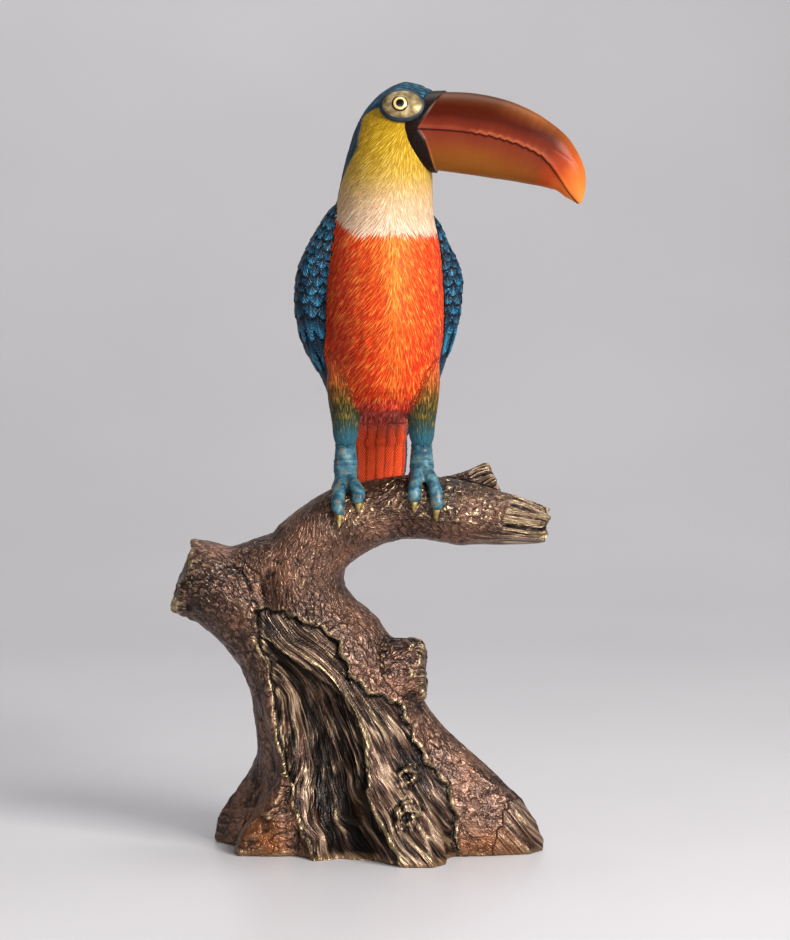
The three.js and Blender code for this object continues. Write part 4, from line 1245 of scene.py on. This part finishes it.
def make_eye(side):
    """An oval brass patch with a dark outline, and the painted eyeball with its brass lid."""
    turn = Matrix.Rotation(-BEAK_TURN - math.radians(12) * side, 4, "Z")
    turn = turn @ Matrix.Rotation(math.radians(20) * side, 4, "X")
    patch_at = Vector(on_beak(3, 238.5, side * 20.4 + 1.8))
    ball_at = Vector(on_beak(2, 239, side * 22.2 + 1.8))
    bm = bmesh.new()

    def dome(radii, at, segments, number):
        made = bmesh.ops.create_uvsphere(bm, u_segments=segments, v_segments=segments // 2, radius=1)["verts"]
        size = Matrix.Diagonal((*radii, 1))
        place = Matrix.Translation(at * MM) @ turn @ Matrix.Scale(MM, 4) @ size
        bmesh.ops.transform(bm, matrix=place, verts=made)
        for face in {f for v in made for f in v.link_faces}:
            face.material_index = number
            face.smooth = True
        return made

    wide, high = EYE_RING_HEIGHT * 1.35, EYE_RING_HEIGHT * 1.02
    outward = turn @ Vector((0, side, 0))
    dome((wide + 1.0, 3.5, high + 1.0), patch_at, 48, 2)
    dome((wide, 3.9, high), patch_at + outward * 0.25, 64, 0)
    ball = dome((EYE_RADIUS * 1.3, 3.3, EYE_RADIUS * 1.3), ball_at + outward * 0.3, 96, 1)
    bm.verts.index_update()
    numbers = {v.index for v in ball}
    piece = new_piece("eye_left" if side > 0 else "eye_right", bm)
    points = points_of(piece)
    middle = np.array(ball_at)
    level, upright = (np.array(turn @ Vector(way)) for way in ((1, 0, 0), (0, 0, 1)))
    out = np.hypot((points - middle) @ level, (points - middle) @ upright) / (EYE_RADIUS * 1.3)
    out = np.where([i in numbers for i in range(len(points))], out, 1.0)
    keep_values(piece, iris=out)
    for name, finish in (
        ("aged brass", aged_brass), ("gloss eye paint", eye_paint), ("blue-black enamel", eye_outline),
    ):
        piece.data.materials.append(made_material(name, finish))
    return piece


# Studio

def look_at(thing, target):
    thing.rotation_euler = (Vector(target) - thing.location).to_track_quat("-Z", "Y").to_euler()


def place_camera():
    camera = bpy.data.objects.new("camera", bpy.data.cameras.new("camera"))
    bpy.context.scene.collection.objects.link(camera)
    camera.location = CAMERA_AT
    camera.data.sensor_fit = "AUTO"
    camera.data.sensor_width = SENSOR
    camera.data.lens = FOCAL_PIXELS / max(IMAGE_WIDTH, IMAGE_HEIGHT) * SENSOR
    camera.data.clip_end = 50
    look_at(camera, CAMERA_AIM)
    bpy.context.scene.camera = camera


def soft_light(name, at, aim, size, watts, tint=(1.0, 1.0, 1.0)):
    lamp = bpy.data.lights.new(name, "AREA")
    lamp.shape = "RECTANGLE"
    lamp.size, lamp.size_y = size
    lamp.energy = watts
    lamp.color = tint
    thing = bpy.data.objects.new(name, lamp)
    bpy.context.scene.collection.objects.link(thing)
    thing.location = at
    look_at(thing, aim)


def grey_card(add):
    """Matt painted card, very faintly uneven, which shows a soft gleam near the object."""
    cloud = mottle(add, 330.0, 2.0)
    tint = add("ValToRGB", {0: cloud}, stops=((0.3, "#c0bec0"), (0.7, "#c4c2c4")))
    return {"Base Color": tint, "Roughness": 0.35, "Specular IOR Level": 0.35}


def make_studio():
    """A pale sweep: the floor curves up into the wall behind."""
    half_width, front, flat, radius, wall_top, steps = 4.0, -3.2, 4.2, 1.6, 5.0, 12
    bm = bmesh.new()
    start, end = (bm.verts.new((side * half_width, front, 0)) for side in (-1, 1))
    line = [bm.edges.new((start, end))]
    run = [(flat, 0.0)]
    for step in range(1, steps + 1):
        turn = math.radians(90 / steps * step)
        run.append((flat + radius * math.sin(turn), radius * (1 - math.cos(turn))))
    run.append((flat + radius, wall_top))
    before = (0.0, 0.0)
    for reach, rise in run:
        made = bmesh.ops.extrude_edge_only(bm, edges=line)["geom"]
        line = [e for e in made if isinstance(e, bmesh.types.BMEdge)]
        moved = [v for v in made if isinstance(v, bmesh.types.BMVert)]
        bmesh.ops.translate(bm, verts=moved, vec=(0, reach - before[0], rise - before[1]))
        before = (reach, rise)
    for face in bm.faces:
        face.smooth = True
    bmesh.ops.recalc_face_normals(bm, faces=bm.faces)
    floor = new_piece("studio_sweep", bm)
    floor.data.materials.append(made_material("matt grey card", grey_card))

    world = bpy.data.worlds.new("studio")
    world.use_nodes = True
    backdrop = world.node_tree.nodes["Background"]
    backdrop.inputs["Color"].default_value = colour("#d8d8dc")
    backdrop.inputs["Strength"].default_value = 0.36
    bpy.context.scene.world = world
    soft_light("key", (1.25, -1.35, 1.3), (0, 0, 0.3), (0.9, 0.9), 54, (1.0, 0.985, 0.96))
    soft_light("front", (-0.1, -2.6, 1.5), (0, 0, 0.25), (1.4, 1.0), 8)
    soft_light("low", (0.4, -2.2, 0.45), (0, 0, 0.3), (1.0, 0.4), 8)
    soft_light("fill", (-1.5, -1.9, 0.9), (0, 0, 0.25), (1.2, 1.2), 1.5, (0.96, 0.98, 1.0))
    soft_light("top", (0.2, 0.3, 1.9), (0, 0, 0.2), (1.2, 0.8), 12)
    soft_light("wall", (-0.9, 1.6, 2.6), (-0.9, 4.5, 1.0), (3.0, 1.0), 19)
    bpy.context.scene.view_settings.view_transform = "Standard"
    bpy.context.scene.view_settings.look = "Medium High Contrast"


place_camera()
stump = make_stump()
stump.data.materials.append(made_material("brown bronze patina", bronze_patina))
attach(stump, "root")
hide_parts("tree_stump")
for made in (make_toucan(), make_beak(), make_claws(), make_eye(-1), make_eye(1)):
    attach(made, "root")
    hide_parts("toucan")
make_studio()
